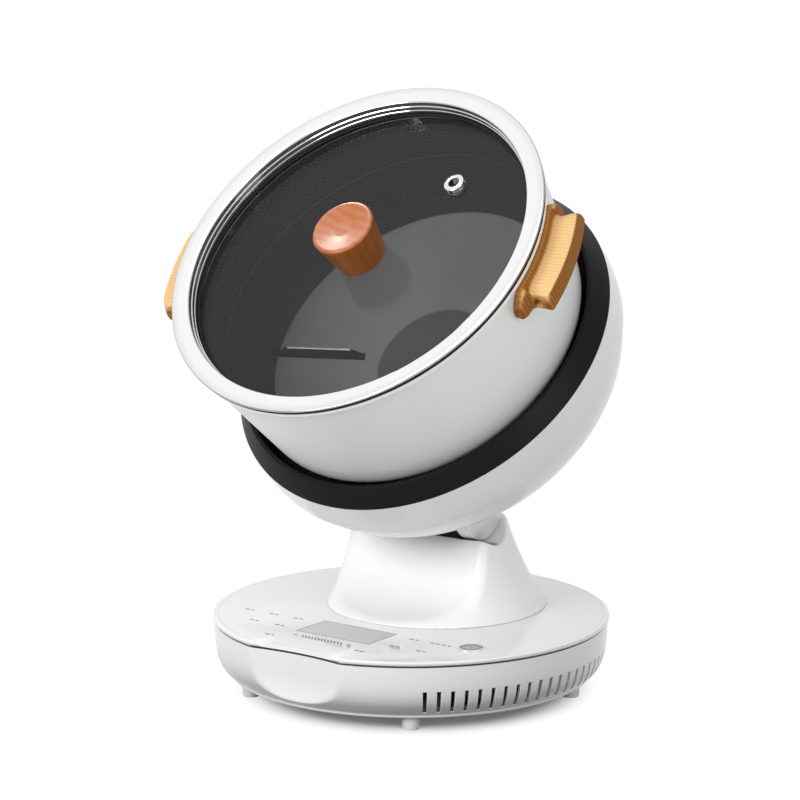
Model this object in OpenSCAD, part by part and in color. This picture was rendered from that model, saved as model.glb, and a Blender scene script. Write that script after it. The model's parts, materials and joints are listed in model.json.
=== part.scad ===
// Automatic stir fry machine: a turning pot in a tilting induction bowl on a pedestal base.
// The origin is the centre of the base on the table, +Z is up and -Y faces the user.
// Depths in the head are measured down the pot's axis from the top face of the lid.

/* [Base] */
// Radius of the control deck
deck_r = 150; // [146:1:160]
// Height of the top of the deck above the table
deck_top = 56; // [54:1:62]
// Thickness of the deck cover
deck_t = 3; // [2.4:0.2:4]
// Shadow gap between the deck cover and the base shell
deck_seam = 0.8; // [0.4:0.1:1.2]
// Wall of the base shell
base_wall = 2.6; // [2:0.1:3.4]
// Radius of the bottom plate
plate_r = 137.5; // [135:0.5:140]
// Thickness of the bottom plate
plate_t = 3; // [2.4:0.2:4]
// Depth of the hollow in the front edge
scallop_depth = 10.5; // [6:0.5:13]
// Radius of the hollow in the front edge
scallop_r = 210; // [180:5:300]
// Number of rubber feet
foot_count = 5; // [3:1:6]
// Height of a foot
foot_h = 11; // [9:1:14]
// Radius of a foot at its top
foot_r = 7; // [6:0.5:8]
// Distance of the feet from the centre
foot_ring_r = 126; // [120:1:128]
// Number of vent slots on each side
vent_count = 26; // [10:1:26]
// Angle between two vent slots
vent_pitch = 4; // [3.4:0.1:4]
// Width of a vent slot
vent_w = 3; // [2:0.2:3.6]
// Height of a vent slot
vent_h = 16.5; // [10:0.5:18]

/* [Panel] */
// Width of the display window
display_w = 68; // [60:1:80]
// Depth of the display window, front to back
display_d = 36.5; // [30:0.5:42]
// Distance of the display's middle in front of the centre
display_y = 81; // [76:1:86]
// Thickness of the display window
display_t = 1.2; // [0.8:0.1:1.6]
// Place of the push button to the right of the centre
button_x = 100; // [94:1:104]
// Place of the push button in front of the centre
button_y = 63; // [58:1:68]
// Radius of the push button
button_r = 8; // [7:0.5:10]
// Travel of the push button
button_travel = 1.5; // [1:0.1:1.8]

/* [Column] */
// Distance of the column's foot behind the centre
column_y = 33; // [28:1:36]
// Radius of the column at the deck
column_r = 84.7; // [82:0.1:90]
// Radius of the column at its top
column_top_r = 60.6; // [58:0.2:66]
// How far the top leans to the front
column_lean = 12.7; // [6:0.1:14]
// How far the column flares out at the deck
column_flare = 6.4; // [3:0.2:8]
// Wall of the column shell
column_wall = 3; // [2.4:0.2:4]
// Height of the column's roof below the hinge
roof_drop = 12; // [11:0.5:16]
// Gap between the column and the bowl at full tilt
bowl_gap = 3.5; // [2.5:0.5:5]
// Radius of the scoop in the column's front
scoop_r = 44.5; // [42:0.5:46]
// Height of the scoop's lowest line above the deck
scoop_foot = 5.5; // [4:0.5:8]
// Distance of the scoop's back in front of the hinge
scoop_back = 22.5; // [21:0.5:26]

/* [Hinge] */
// Distance of the hinge behind the centre
hinge_y = 25; // [22:1:28]
// Height of the hinge above the deck
hinge_rise = 81; // [79:1:88]
// Tilt of the pot's axis from upright, as shown
head_tilt = 45; // [40:1:45]
// How far the head tips forward from there
tilt_fore = 35; // [20:1:36]
// Radius of the hinge knuckles
knuckle_r = 24; // [20:1:25]
// Inner face of a knuckle from the middle
knuckle_in = 38; // [37:0.5:40]
// Width of a knuckle
knuckle_w = 10; // [8:0.5:12]
// Thickness of the cap over a knuckle's end
cap_t = 2; // [1.5:0.5:3]
// Radius of the tilt shaft
shaft_r = 6; // [5:0.5:7]
// Inner face of a frame cheek from the middle
cheek_in = 24; // [20:1:25]
// Thickness of a frame cheek
cheek_t = 8; // [6:0.5:8]
// Radius of a frame cheek around the shaft
cheek_r = 15; // [13:0.5:15]
// Wall of a hinge bush
bush_wall = 2; // [1.5:0.5:3]
// Thickness of a bush flange
bush_flange = 1.5; // [1:0.5:2]

/* [Bowl] */
// Distance of the pot's axis behind the hinge, in the head
axis_offset = 79; // [77:0.5:82]
// How far the hinge lies inside the bowl's bottom curve
hinge_sink = 4.3; // [3.8:0.1:4.8]
// Radius of the bowl's side curve
side_r = 70; // [66:1:74]
// How far the bowl's side stays inside the band
side_inset = 3; // [2:0.5:4]
// Depth of the side curve's centre
side_depth = 138; // [136:0.5:139]
// Room between the motor and the bowl's lowest point
motor_room = 17; // [15.5:0.5:19]
// Wall of the bowl
bowl_wall = 3; // [2.4:0.2:3.6]
// How far the band stands out past the pot's rim
band_over = 3.7; // [2.5:0.1:5]
// Depth of the band's top edge
band_top = 119; // [118:0.5:120]
// Depth of the band's bottom edge
band_bottom = 149; // [146:0.5:152]
// Depth of the collar's top edge
collar_top = 104.6; // [102:0.2:106]
// Room between the pot and the collar's mouth
collar_gap = 5.3; // [4.5:0.1:6]
// Width of the collar's flat top edge
collar_edge = 2.4; // [1.6:0.2:3]
// Thickness of the collar
collar_wall = 2.6; // [2:0.2:3]

/* [Pot] */
// Outer radius of the rolled rim
pot_rim_r = 148.3; // [146:0.1:150]
// Height of the rolled rim
pot_rim_h = 4; // [3:0.5:5]
// How far the rim stands out past the wall
pot_lip = 2.3; // [1.8:0.1:3]
// How far the wall draws in at its foot
pot_draw = 13.5; // [13:0.5:16]
// Depth of the foot of the wall
knee_depth = 115.5; // [113:0.5:117]
// Depth of the pot's lowest face
pot_depth = 141; // [139:0.5:142]
// Radius of the flat middle of the bottom
pot_disc_r = 46; // [42:1:50]
// Thickness of the pot
pot_wall = 2.6; // [2:0.2:3]
// Turn of the pot about its axis, as shown
pot_turn = 8.5; // [0:0.5:30]
// Height of the stirring rib
rib_h = 7; // [4:0.5:9]
// Width of the stirring rib
rib_w = 8; // [6:0.5:10]
// Place of the stirring rib round the pot
rib_angle = 182; // [150:1:210]

/* [Handles] */
// Room between the rim and the grip
grip_gap = 3.7; // [2.7:0.1:4.7]
// Width of the grip
grip_w = 16.7; // [12:0.1:18]
// Depth of the grip's top face
grip_top = 16.5; // [14:0.5:18]
// Thickness of the grip
grip_t = 15.5; // [12:0.5:16]
// Angle that the grip spans
grip_span = 26; // [22:1:28]
// Angle that a handle spans at its feet
handle_span = 38; // [36:0.5:42]
// Angle that a handle's foot spans
foot_span = 7; // [6:0.5:8]

/* [Lid] */
// How far the lid stands out past the pot's rim
lid_over = 1.2; // [0.7:0.1:2]
// Width of the steel rim
lid_band = 14; // [12:0.5:14]
// Thickness of the rim's top
lid_t = 2; // [1.6:0.2:2.4]
// Height of the rim's outer lip
lid_lip = 3.4; // [3:0.2:4]
// Depth of the glass below the rim
glass_depth = 13; // [11:0.5:14]
// Thickness of the glass
glass_t = 4; // [3:0.5:5]
// Thickness of the gasket
gasket_t = 3; // [2.5:0.1:4]
// Radius of the knob's top
knob_r = 24.5; // [20:0.5:25]
// Radius of the knob's foot
knob_foot_r = 20; // [16:0.5:20]
// Height of the knob
knob_h = 35; // [30:1:40]
// Radius of the steam vent's flange
vent_flange_r = 8; // [7:0.5:9]
// Radius of the steam vent's hole
vent_hole_r = 4; // [3:0.5:4.5]
// Distance of the steam vent from the axis
vent_ring_r = 86; // [70:1:100]
// Place of the steam vent round the lid
vent_angle = 58; // [40:1:80]

/* [Drive] */
// Size of the gear teeth
gear_module = 1.5; // [1.4:0.05:1.6]
// Teeth of the driven gear
gear_teeth = 40; // [38:1:42]
// Teeth of the motor pinion
pinion_teeth = 10; // [10:1:12]
// Width of the gears
gear_w = 7; // [5:0.5:8]
// Distance from the pot's bottom to the drive plate
drive_gap = 28; // [27:0.5:30]
// Thickness of the drive plate
drive_t = 3; // [2.4:0.2:4]
// Radius of the drive shaft
drive_shaft_r = 5; // [4:0.5:6]
// Radius of the motor
motor_r = 26; // [22:1:27]
// Length of the motor
motor_l = 26; // [20:1:28]

/* [Fits] */
// Radial room of a turning shaft
run_fit = 0.05; // [0.02:0.01:0.08]
// Room round pieces that are fixed together
seat_fit = 0.2; // [0.1:0.05:0.3]
// Room round pieces that move past each other
move_gap = 0.5; // [0.4:0.1:0.7]
// Room between pieces that are stacked
rest_gap = 0.3; // [0.2:0.05:0.4]
// Radial room of a pressed fit
press_fit = 0.02; // [0.01:0.01:0.04]
// Radial room of a screw in its pilot hole
thread_fit = 0.05; // [0.02:0.01:0.1]

/* [Hidden] */
$fn = 96;

white = [0.93, 0.93, 0.93];
black = [0.1, 0.1, 0.11];
steel = [0.72, 0.73, 0.75];
brass = [0.78, 0.62, 0.3];
copper = [0.75, 0.42, 0.25];
board_green = [0.1, 0.35, 0.2];
dark_grey = [0.3, 0.3, 0.31];
pine = [0.88, 0.68, 0.42];
red_wood = [0.7, 0.34, 0.14];
smoke = [0.35, 0.37, 0.38, 0.6];

// Base levels
plate_top = foot_h + plate_t;
shell_top = deck_top - deck_t - deck_seam;
deck_under = deck_top - deck_t;
shell_low_r = plate_r + 1.5;
shell_high_r = deck_r - 1;
spigot_r = plate_r - 4;
spigot_w = 4;
spigot_h = 3;
vent_z = plate_top + 2.5;
foot_step = 360 / foot_count;
foot_taper = 0.9;
foot_recess = 4;
land_h = 6;
land_w = 3;

// Small screws, shared by the whole machine
screw_r = 2;
screw_head_r = 3.8;
screw_head_h = 2.2;
screw_hole_r = screw_r + seat_fit;

// Boards and parts inside the base
display_ledge = 4;
bezel_wall = 1.8;
switch_side = 8;
switch_body_h = 3;
switch_h = 3.6;
board_t = 1.6;
board_margin = 6;
post_r = 3;
post_h = 5;
control_board_top = deck_under - 9;
panel_board_w = 110;
panel_board_d = 46;
side_board_w = 60;
side_board_d = 28;
side_board_over = 12;
power_board_x = 86;
power_board_y = 10;
power_board_w = 64;
power_board_d = 90;
sink_w = 38;
sink_d = 60;
sink_h = 18;
sink_fins = 7;
fan_x = -88;
fan_y = 15;
fan_side = 60;
fan_t = 15;
fan_bore_r = 28.5;
fan_hub_r = 13;
fan_pin_r = 1.5;
fan_blades = 7;
fan_spoke_t = 2;
grille_w = 40;
grille_slot = 3;
grille_pitch = 6;
grille_reach = 18;
inlet_w = 28;
inlet_h = 20;
inlet_l = 24;
inlet_z = 34;
inlet_face = deck_r - 3;

// Hinge
hinge_z = deck_top + hinge_rise;
hinge_v = -axis_offset;
knuckle_out = knuckle_in + knuckle_w;
cheek_out = cheek_in + cheek_t;
roof_z = hinge_z - roof_drop;
frame_w = 90;
frame_t = 4;
frame_front = 2;
frame_back = 78;
frame_screw_x = 38;
frame_screw_in = 8;
cheek_foot = 45;
cheek_neck = 22;
cheek_gap = 1;
side_gap = 2;
web_back = 22;
web_t = 8;
web_drop = 24;
flare_power = 5.6;

// Pot and lid levels
rim_top = lid_t + gasket_t;
rim_foot = rim_top + pot_rim_h;
pot_top_r = pot_rim_r - pot_lip;
pot_low_r = pot_top_r - pot_draw;
pot_draft = atan(pot_draw / (knee_depth - rim_foot));
grip_in = pot_rim_r + grip_gap;
grip_out = grip_in + grip_w;
lid_r = pot_rim_r + lid_over;
lid_in_r = lid_r - lid_band;
lid_wall = 3.5;
lid_wall_r = lid_in_r + lid_wall;
glass_r = lid_in_r + 2;
glass_low = glass_depth + glass_t;
knob_screw_r = 2.5;
handle_screw_l = 9;
hub_r = 26;
hub_h = 8;
hub_low = pot_depth + hub_h;
hex_r = 11;
liner_gap = 10;
liner_t = 2;
liner_slope = (pot_depth - knee_depth) / (pot_low_r - pot_disc_r);
liner_hole_r = hub_r + 3;
coil_in = 52;
coil_out = 110;
coil_t = 5;
carrier_t = 3;
carrier_post_r = 95;
ferrite_t = 5;
ferrite_w = 12;
ferrite_count = 8;
sensor_r = 4;
sensor_ring_r = 40;

// Drive train
pitch_gap = 0.3;
tooth_tip = 0.8;
tooth_root = 1.25;
gear_tip_r = gear_module * (gear_teeth / 2 + tooth_tip);
gear_distance = gear_module * (gear_teeth + pinion_teeth) / 2 + pitch_gap;
drive_depth = pot_depth + drive_gap;
drive_low = drive_depth + drive_t;
gear_top = drive_low + 2.5;
gear_low = gear_top + gear_w;
bracket_top = gear_low + 2.5;
bracket_t = 8;
bracket_low = bracket_top + bracket_t;
bearing_r = 13;
bearing_w = 8;
housing_wall = 4;
coupling_flange_h = 3.5;
housing_h = drive_depth - hub_low - coupling_flange_h - move_gap;
plate_hole_r = drive_shaft_r + 2;
yoke_t = 6;
yoke_d = 42;
yoke_screw_v = 8;
boss_ring_r = 88;
boss_r = 6;
drive_plate_r = boss_ring_r + 16;
bracket_post_r = 5;
bracket_post_gap = 1.8;
bracket_near_x = gear_tip_r + bracket_post_gap + bracket_post_r;
bracket_far_x = 31;
spindle_r = 2.5;

// Bowl: a side curve that runs into a flatter bottom curve
bowl_pole = bracket_low + motor_l + motor_room;
bowl_drop = bowl_pole - side_depth;
band_r = pot_rim_r + band_over;
side_x = band_r - side_inset - side_r;
collar_in = pot_r_at(collar_top) + collar_gap;
bottom_shift = (pow(side_x, 2) - pow(bowl_drop - side_r, 2)) / (2 * (bowl_drop - side_r));
bottom_r = bowl_drop + bottom_shift;
bottom_depth = side_depth - bottom_shift;
bowl_join = atan(side_x / bottom_shift);
lid_rise = bottom_depth + sqrt(pow(bottom_r - hinge_sink, 2) - pow(axis_offset, 2));
bowl_spigot_top = band_bottom - 10;
band_wall = 3;
band_inner_r = band_r - band_wall;
bowl_spigot_r = side_x + sqrt(pow(side_r, 2) - pow(band_bottom - side_depth, 2)) - seat_fit;
ledge_t = 3;
liner_flange_t = 2;
ledge_in = collar_in + 2;

// Middle of the bowl's bottom curve at full forward tilt, and the axis of the scoop
sweep_tilt = head_tilt + tilt_fore;
sweep_rise = lid_rise - bottom_depth;
sweep_y = hinge_y + axis_offset * cos(sweep_tilt) - sweep_rise * sin(sweep_tilt);
sweep_z = hinge_z + axis_offset * sin(sweep_tilt) + sweep_rise * cos(sweep_tilt);
sweep_r = bottom_r + bowl_gap;
scoop_y = hinge_y - scoop_back - scoop_r;
scoop_z = deck_top + scoop_foot + scoop_r;

// Points of an arc about a centre
function arc(cx, cy, r, a0, a1, n) =
    [for (i = [0 : n]) let (a = a0 + (a1 - a0) * i / n) [cx + r * cos(a), cy + r * sin(a)]];

// Points of a smooth bend from a to c around the corner b
function bend(a, b, c, n = 8) =
    [for (i = [0 : n]) let (t = i / n) pow(1 - t, 2) * a + 2 * t * (1 - t) * b + pow(t, 2) * c];

// The point at a distance from p towards q
function toward(p, q, d) = p + (q - p) * d / norm(q - p);

// Outer radius of the pot's wall at a depth
function pot_r_at(d) =
    pot_top_r - (d - rim_foot) * (pot_top_r - pot_low_r) / (knee_depth - rim_foot);

// Depth of the liner's upper face at a radius
function liner_at(r) = pot_depth + liner_gap - (r - pot_disc_r) * liner_slope;

// Depth of the bowl's inner face at a radius in its flat bottom
function bowl_inner_at(r) = bottom_depth + sqrt(pow(bottom_r - bowl_wall, 2) - pow(r, 2));

// Radius and middle of the column at a share of its height
function column_r_at(t) =
    column_r - column_flare * (1 - pow(1 - t, flare_power)) - (column_r - column_top_r - column_flare) * t;
function column_y_at(t) = column_y - column_lean * pow(t, 2) * (3 - 2 * t);

// Outline of a spur gear
function gear_points(teeth) =
    let (pitch = 360 / teeth, r = gear_module * teeth / 2, root = r - tooth_root * gear_module,
         tip = r + tooth_tip * gear_module)
    [for (i = [0 : teeth - 1], k = [[root, -0.27], [tip, -0.1], [tip, 0.1], [root, 0.27]])
        let (a = (i + k[1]) * pitch) k[0] * [cos(a), sin(a)]];

// Places children in the head, with the top of the lid as z = 0 and the pot's axis upright
module on_head(tilt = head_tilt) {
    translate([0, hinge_y, hinge_z]) rotate([tilt, 0, 0]) translate([0, axis_offset, lid_rise])
        children();
}

// Places children in the head, turned with the pot
module on_pot() {
    on_head() rotate([0, 0, pot_turn]) children();
}

// A bar along X between two places
module bar_x(x0, x1, r) {
    translate([x0, 0, 0]) rotate([0, 90, 0]) cylinder(h = x1 - x0, r = r);
}

// A ring standing on z = 0
module ring(r_out, r_in, h) {
    difference() {
        cylinder(h = h, r = r_out);
        translate([0, 0, -1]) cylinder(h = h + 2, r = r_in);
    }
}

// A screw with its head above z = 0 and its shank below
module screw(length, r = screw_r, head_r = screw_head_r, head_h = screw_head_h) {
    cylinder(h = head_h, r = head_r);
    translate([0, 0, -length]) cylinder(h = length, r = r);
}

// A hole for such a screw's shank
module screw_hole(length, r = screw_hole_r) {
    translate([0, 0, -length]) cylinder(h = 2 * length, r = r);
}

// Both sides of the machine
module both_sides() {
    children();
    mirror([1, 0, 0]) children();
}

// The hollow in the front edge, moved back by a wall
module scallop(wall = 0) {
    translate([0, -deck_r + scallop_depth - scallop_r, -1])
        cylinder(h = deck_top + 2, r = scallop_r + wall, $fn = 180);
}

module at_feet() {
    for (i = [0 : foot_count - 1]) rotate([0, 0, foot_step * (i + 0.5)])
        translate([0, -foot_ring_r, 0]) children();
}

module at_frame_screws() {
    for (x = [-frame_screw_x, frame_screw_x])
        for (y = [frame_front + frame_screw_in, frame_back - frame_screw_in])
            translate([x, y, 0]) children();
}

module at_power_posts() {
    reach_x = power_board_w / 2 - board_margin;
    reach_y = power_board_d / 2 - board_margin;
    for (x = [-reach_x, reach_x], y = [-reach_y, reach_y])
        translate([power_board_x + x, power_board_y + y, 0]) children();
}

module at_panel_posts() {
    reach_x = panel_board_w / 2 - board_margin;
    reach_y = panel_board_d / 2 - board_margin;
    for (x = [-reach_x, reach_x], y = [-reach_y, reach_y]) translate([x, y - display_y, 0]) children();
}

module at_bosses() {
    for (i = [0 : 3]) rotate([0, 0, 45 + 90 * i]) translate([boss_ring_r, 0, 0]) children();
}

module at_bracket_posts() {
    for (x = [-bracket_near_x, bracket_near_x]) translate([x, 0, 0]) children();
    for (x = [-bracket_far_x, bracket_far_x]) translate([x, gear_distance, 0]) children();
}

module at_yoke_screws() {
    for (x = [-1, 1], v = [-1, 1])
        translate([x * (knuckle_in + knuckle_w / 2), hinge_v + v * yoke_screw_v, 0]) children();
}

module bottom_plate() {
    color(white) difference() {
        union() {
            translate([0, 0, foot_h]) cylinder(h = plate_t, r = plate_r);
            translate([0, 0, plate_top]) ring(spigot_r, spigot_r - spigot_w, spigot_h);
            translate([0, 0, plate_top]) at_power_posts() cylinder(h = post_h, r = post_r);
        }
        at_feet() translate([0, 0, plate_top]) screw_hole(2 * plate_t);
        at_frame_screws() translate([0, 0, plate_top]) screw_hole(2 * plate_t);
        for (y = [-grille_reach : grille_pitch : grille_reach])
            translate([fan_x - grille_w / 2, fan_y + y - grille_slot / 2, foot_h - 1])
                cube([grille_w, grille_slot, plate_t + 2]);
    }
}

module rubber_feet() {
    color("gainsboro") at_feet() difference() {
        cylinder(h = foot_h, r1 = foot_r - foot_taper, r2 = foot_r);
        translate([0, 0, -1]) cylinder(h = foot_recess + 1, r = screw_head_r + seat_fit);
        translate([0, 0, foot_recess]) screw_hole(2 * foot_h);
    }
}

module foot_screws() {
    color(steel) at_feet() translate([0, 0, foot_recess]) mirror([0, 0, 1])
        screw(plate_top - foot_recess);
}

// Solid of the base shell, drawn in by a wall
module base_solid(wall) {
    low = [shell_low_r - wall, plate_top - (wall > 0 ? 1 : 0)];
    high = [shell_high_r - wall, shell_top + (wall > 0 ? 1 : 0)];
    corner = [shell_high_r + 0.5 - wall, plate_top + 5 + wall];
    rotate_extrude() polygon(concat([[0, low[1]]], bend(low, corner, high, 12), [[0, high[1]]]));
}

module base_shell() {
    color(white) difference() {
        difference() {
            base_solid(0);
            scallop();
        }
        difference() {
            base_solid(base_wall);
            scallop(base_wall);
        }
        both_sides() for (i = [0 : vent_count - 1])
            rotate([0, 0, (i - (vent_count - 1) / 2) * vent_pitch])
                translate([plate_r - 12, -vent_w / 2, vent_z]) cube([30, vent_w, vent_h]);
        translate([-inlet_w / 2 - seat_fit, inlet_face - inlet_l, inlet_z - inlet_h / 2 - seat_fit])
            cube([inlet_w + 2 * seat_fit, 2 * inlet_l, inlet_h + 2 * seat_fit]);
    }
}

module deck_cover() {
    edge = 1;
    land_r = shell_high_r - base_wall - move_gap;
    frame_hole = frame_w / 2;
    color(white) difference() {
        union() {
            difference() {
                rotate_extrude() polygon(concat(
                    [[0, deck_under], [deck_r, deck_under]],
                    bend([deck_r, deck_top - edge], [deck_r, deck_top], [deck_r - edge, deck_top], 4),
                    [[0, deck_top]]));
                scallop();
            }
            difference() {
                translate([0, 0, shell_top - land_h])
                    ring(land_r, land_r - land_w, land_h + deck_seam + edge);
                scallop(base_wall + land_w);
            }
            translate([0, 0, control_board_top])
                at_panel_posts() cylinder(h = deck_under - control_board_top + edge, r = post_r);
        }
        translate([-frame_hole, hinge_y - cheek_r, plate_top])
            cube([2 * frame_hole, cheek_r + cheek_foot + cheek_gap, deck_top]);
        translate([-display_w / 2 - seat_fit, -display_y - display_d / 2 - seat_fit, deck_top - display_t])
            cube([display_w + 2 * seat_fit, display_d + 2 * seat_fit, display_t + 1]);
        translate([display_ledge - display_w / 2, display_ledge - display_y - display_d / 2, deck_under - 1])
            cube([display_w - 2 * display_ledge, display_d - 2 * display_ledge, deck_t + 2]);
        translate([button_x, -button_y, deck_under - 1])
            cylinder(h = deck_t + 2, r = button_r + bezel_wall);
    }
}

module display_window() {
    color(smoke) translate([-display_w / 2, -display_y - display_d / 2, deck_top - display_t])
        cube([display_w, display_d, display_t]);
}

module display_module() {
    inset = display_ledge + 1;
    height = deck_top - display_t - control_board_top - rest_gap;
    color(dark_grey) translate([inset - display_w / 2, inset - display_y - display_d / 2, control_board_top])
        cube([display_w - 2 * inset, display_d - 2 * inset, height]);
}

module control_board() {
    color(board_green) translate([0, 0, control_board_top - board_t]) {
        translate([-panel_board_w / 2, -display_y - panel_board_d / 2, 0])
            cube([panel_board_w, panel_board_d, board_t]);
        translate([button_x + side_board_over - side_board_w, -button_y - side_board_d / 2, 0])
            cube([side_board_w, side_board_d, board_t]);
    }
}

module button_switch() {
    color(black) translate([button_x, -button_y, control_board_top]) {
        translate([-switch_side / 2, -switch_side / 2, 0]) cube([switch_side, switch_side, switch_body_h]);
        cylinder(h = switch_h, r = switch_side / 4);
    }
}

module button_bezel() {
    lip = 0.6;
    color(steel) translate([button_x, -button_y, deck_under]) difference() {
        union() {
            cylinder(h = deck_t, r = button_r + bezel_wall - seat_fit);
            translate([0, 0, deck_t]) cylinder(h = lip, r = button_r + bezel_wall + lip);
        }
        translate([0, 0, -1]) cylinder(h = deck_t + lip + 2, r = button_r + move_gap);
    }
}

module power_button() {
    skirt_h = 1.5;
    skirt_w = 2;
    proud = 0.4;
    stem_r = 3;
    stem_low = control_board_top + switch_h + button_travel + rest_gap;
    color(dark_grey) translate([button_x, -button_y, 0]) {
        translate([0, 0, deck_under - 1]) cylinder(h = deck_t + 1 + proud, r = button_r);
        translate([0, 0, deck_under - move_gap - skirt_h]) cylinder(h = skirt_h, r = button_r + skirt_w);
        translate([0, 0, stem_low]) cylinder(h = deck_under - stem_low, r = stem_r);
    }
}

module power_board() {
    color(board_green)
        translate([power_board_x - power_board_w / 2, power_board_y - power_board_d / 2, plate_top + post_h])
            cube([power_board_w, power_board_d, board_t]);
}

module heat_sink() {
    floor_t = 3;
    fin_t = 2;
    pitch = (sink_w - fin_t) / (sink_fins - 1);
    low = plate_top + post_h + board_t;
    color(steel) translate([power_board_x - sink_w / 2, power_board_y - sink_d / 2, low]) {
        cube([sink_w, sink_d, floor_t]);
        for (i = [0 : sink_fins - 1]) translate([i * pitch, 0, 0]) cube([fin_t, sink_d, sink_h]);
    }
}

module fan_frame() {
    spoke_w = 3;
    pin_drop = 3;
    color(black) translate([fan_x, fan_y, plate_top]) {
        difference() {
            translate([-fan_side / 2, -fan_side / 2, 0]) cube([fan_side, fan_side, fan_t]);
            translate([0, 0, -1]) cylinder(h = fan_t + 2, r = fan_bore_r);
        }
        for (i = [0 : 2]) rotate([0, 0, 120 * i + 30])
            translate([0, -spoke_w / 2, 0]) cube([fan_bore_r + 1, spoke_w, fan_spoke_t]);
        cylinder(h = fan_spoke_t, r = fan_hub_r);
        cylinder(h = fan_t - pin_drop, r = fan_pin_r);
    }
}

module fan_rotor() {
    low = fan_spoke_t + rest_gap;
    high = fan_t - 1;
    blade_t = 1.4;
    blade_in = 0.7;
    color(dark_grey) translate([fan_x, fan_y, plate_top]) difference() {
        union() {
            translate([0, 0, low]) cylinder(h = high - low, r = fan_hub_r);
            intersection() {
                translate([0, 0, low + blade_in]) cylinder(h = high - low - 2 * blade_in, r = fan_bore_r - 1);
                for (i = [0 : fan_blades - 1]) rotate([0, 0, 360 / fan_blades * i])
                    translate([fan_hub_r - 1, 0, (low + high) / 2]) rotate([45, 0, 0])
                        translate([0, -blade_t / 2, -fan_t]) cube([fan_bore_r, blade_t, 2 * fan_t]);
            }
        }
        translate([0, 0, low - 1]) cylinder(h = high - low - 1, r = fan_pin_r + run_fit);
    }
}

module mains_inlet() {
    wall = 2;
    floor_t = 8;
    pin = [2, 12, 4];
    pin_pitch = 7;
    color(black) translate([0, inlet_face - inlet_l, inlet_z]) {
        difference() {
            translate([-inlet_w / 2, 0, -inlet_h / 2]) cube([inlet_w, inlet_l, inlet_h]);
            translate([-inlet_w / 2 + wall, floor_t, -inlet_h / 2 + wall])
                cube([inlet_w - 2 * wall, inlet_l, inlet_h - 2 * wall]);
        }
        for (i = [-1 : 1]) translate([i * pin_pitch - pin[0] / 2, floor_t - 1, -pin[2] / 2]) cube(pin);
    }
}

// Side view of a frame cheek: a stem that follows the back of the scoop, and a boss round the shaft
module cheek_outline() {
    clear = column_wall + cheek_gap;
    translate([hinge_y, hinge_z]) circle(cheek_r);
    difference() {
        polygon([
            [hinge_y - cheek_r + 2, hinge_z], [hinge_y - cheek_r + 2, plate_top],
            [hinge_y + cheek_foot, plate_top], [hinge_y + cheek_foot - 5, deck_top],
            [hinge_y + cheek_neck, roof_z], [hinge_y + cheek_r, hinge_z]]);
        translate([sweep_y, sweep_z]) circle(sweep_r + clear, $fn = 180);
        translate([scoop_y, scoop_z]) circle(scoop_r + clear);
    }
}

module column_frame() {
    color(steel) difference() {
        union() {
            translate([-frame_w / 2, frame_front, plate_top])
                cube([frame_w, frame_back - frame_front, frame_t]);
            both_sides() translate([cheek_in, 0, 0]) rotate([90, 0, 90])
                linear_extrude(cheek_t) cheek_outline();
            translate([-cheek_in, hinge_y + web_back, plate_top])
                cube([2 * cheek_in, web_t, roof_z - plate_top - web_drop]);
        }
        translate([0, hinge_y, hinge_z]) bar_x(-cheek_out - 1, cheek_out + 1, shaft_r + bush_wall);
        at_frame_screws() translate([0, 0, plate_top]) screw_hole(3 * frame_t);
    }
}

module frame_screws() {
    color(steel) at_frame_screws() translate([0, 0, plate_top + frame_t]) screw(frame_t + plate_t);
}

// Rings of the column, drawn in by a wall, from one share of its height to another
module column_solid(wall, t0, t1, rings = 12, sides = 72) {
    height = roof_z - deck_top;
    points = [for (i = [0 : rings], j = [0 : sides - 1])
        let (t = t0 + (t1 - t0) * pow(i / rings, 1.6), a = 360 * j / sides, s = min(max(t, 0), 1),
             r = column_r_at(s) - wall)
        [r * cos(a), column_y_at(s) + r * sin(a), deck_top + height * t]];
    walls = [for (i = [0 : rings - 1], j = [0 : sides - 1])
        let (k = (j + 1) % sides)
        each [[i * sides + j, (i + 1) * sides + j, (i + 1) * sides + k],
              [i * sides + j, (i + 1) * sides + k, i * sides + k]]];
    low = [for (j = [0 : sides - 1]) j];
    high = [for (j = [sides - 1 : -1 : 0]) rings * sides + j];
    polyhedron(points = points, faces = concat([low], walls, [high]));
}

// The scoop in the column's front, with the room that the bowl needs at full tilt, grown by a wall
module bowl_scoop(grow) {
    translate([0, sweep_y, sweep_z]) sphere(r = sweep_r + grow, $fn = 180);
    translate([0, scoop_y, scoop_z]) bar_x(-deck_r, deck_r, scoop_r + grow);
}

// The saddles that the knuckles turn in, grown by a wall
module saddles(grow) {
    saddle_gap = 5;
    both_sides() translate([0, hinge_y, hinge_z])
        bar_x(cheek_out + (grow > 0 ? rest_gap : side_gap), deck_r, knuckle_r + saddle_gap + grow);
}

// The room that the frame's cheeks need where they come out of the roof
module cheek_slots() {
    both_sides() {
        translate([0, hinge_y, hinge_z]) bar_x(cheek_in - side_gap, knuckle_in, cheek_r + side_gap);
        translate([cheek_in - side_gap, hinge_y, roof_z - column_wall - 1])
            cube([knuckle_in - cheek_in + side_gap, cheek_neck + side_gap, hinge_rise]);
    }
}

module column_shell() {
    color(white) difference() {
        column_solid(0, 0, 1);
        bowl_scoop(0);
        saddles(0);
        cheek_slots();
        difference() {
            column_solid(column_wall, -0.02, 1 - column_wall / (roof_z - deck_top));
            bowl_scoop(column_wall);
            saddles(column_wall);
        }
    }
}

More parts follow.
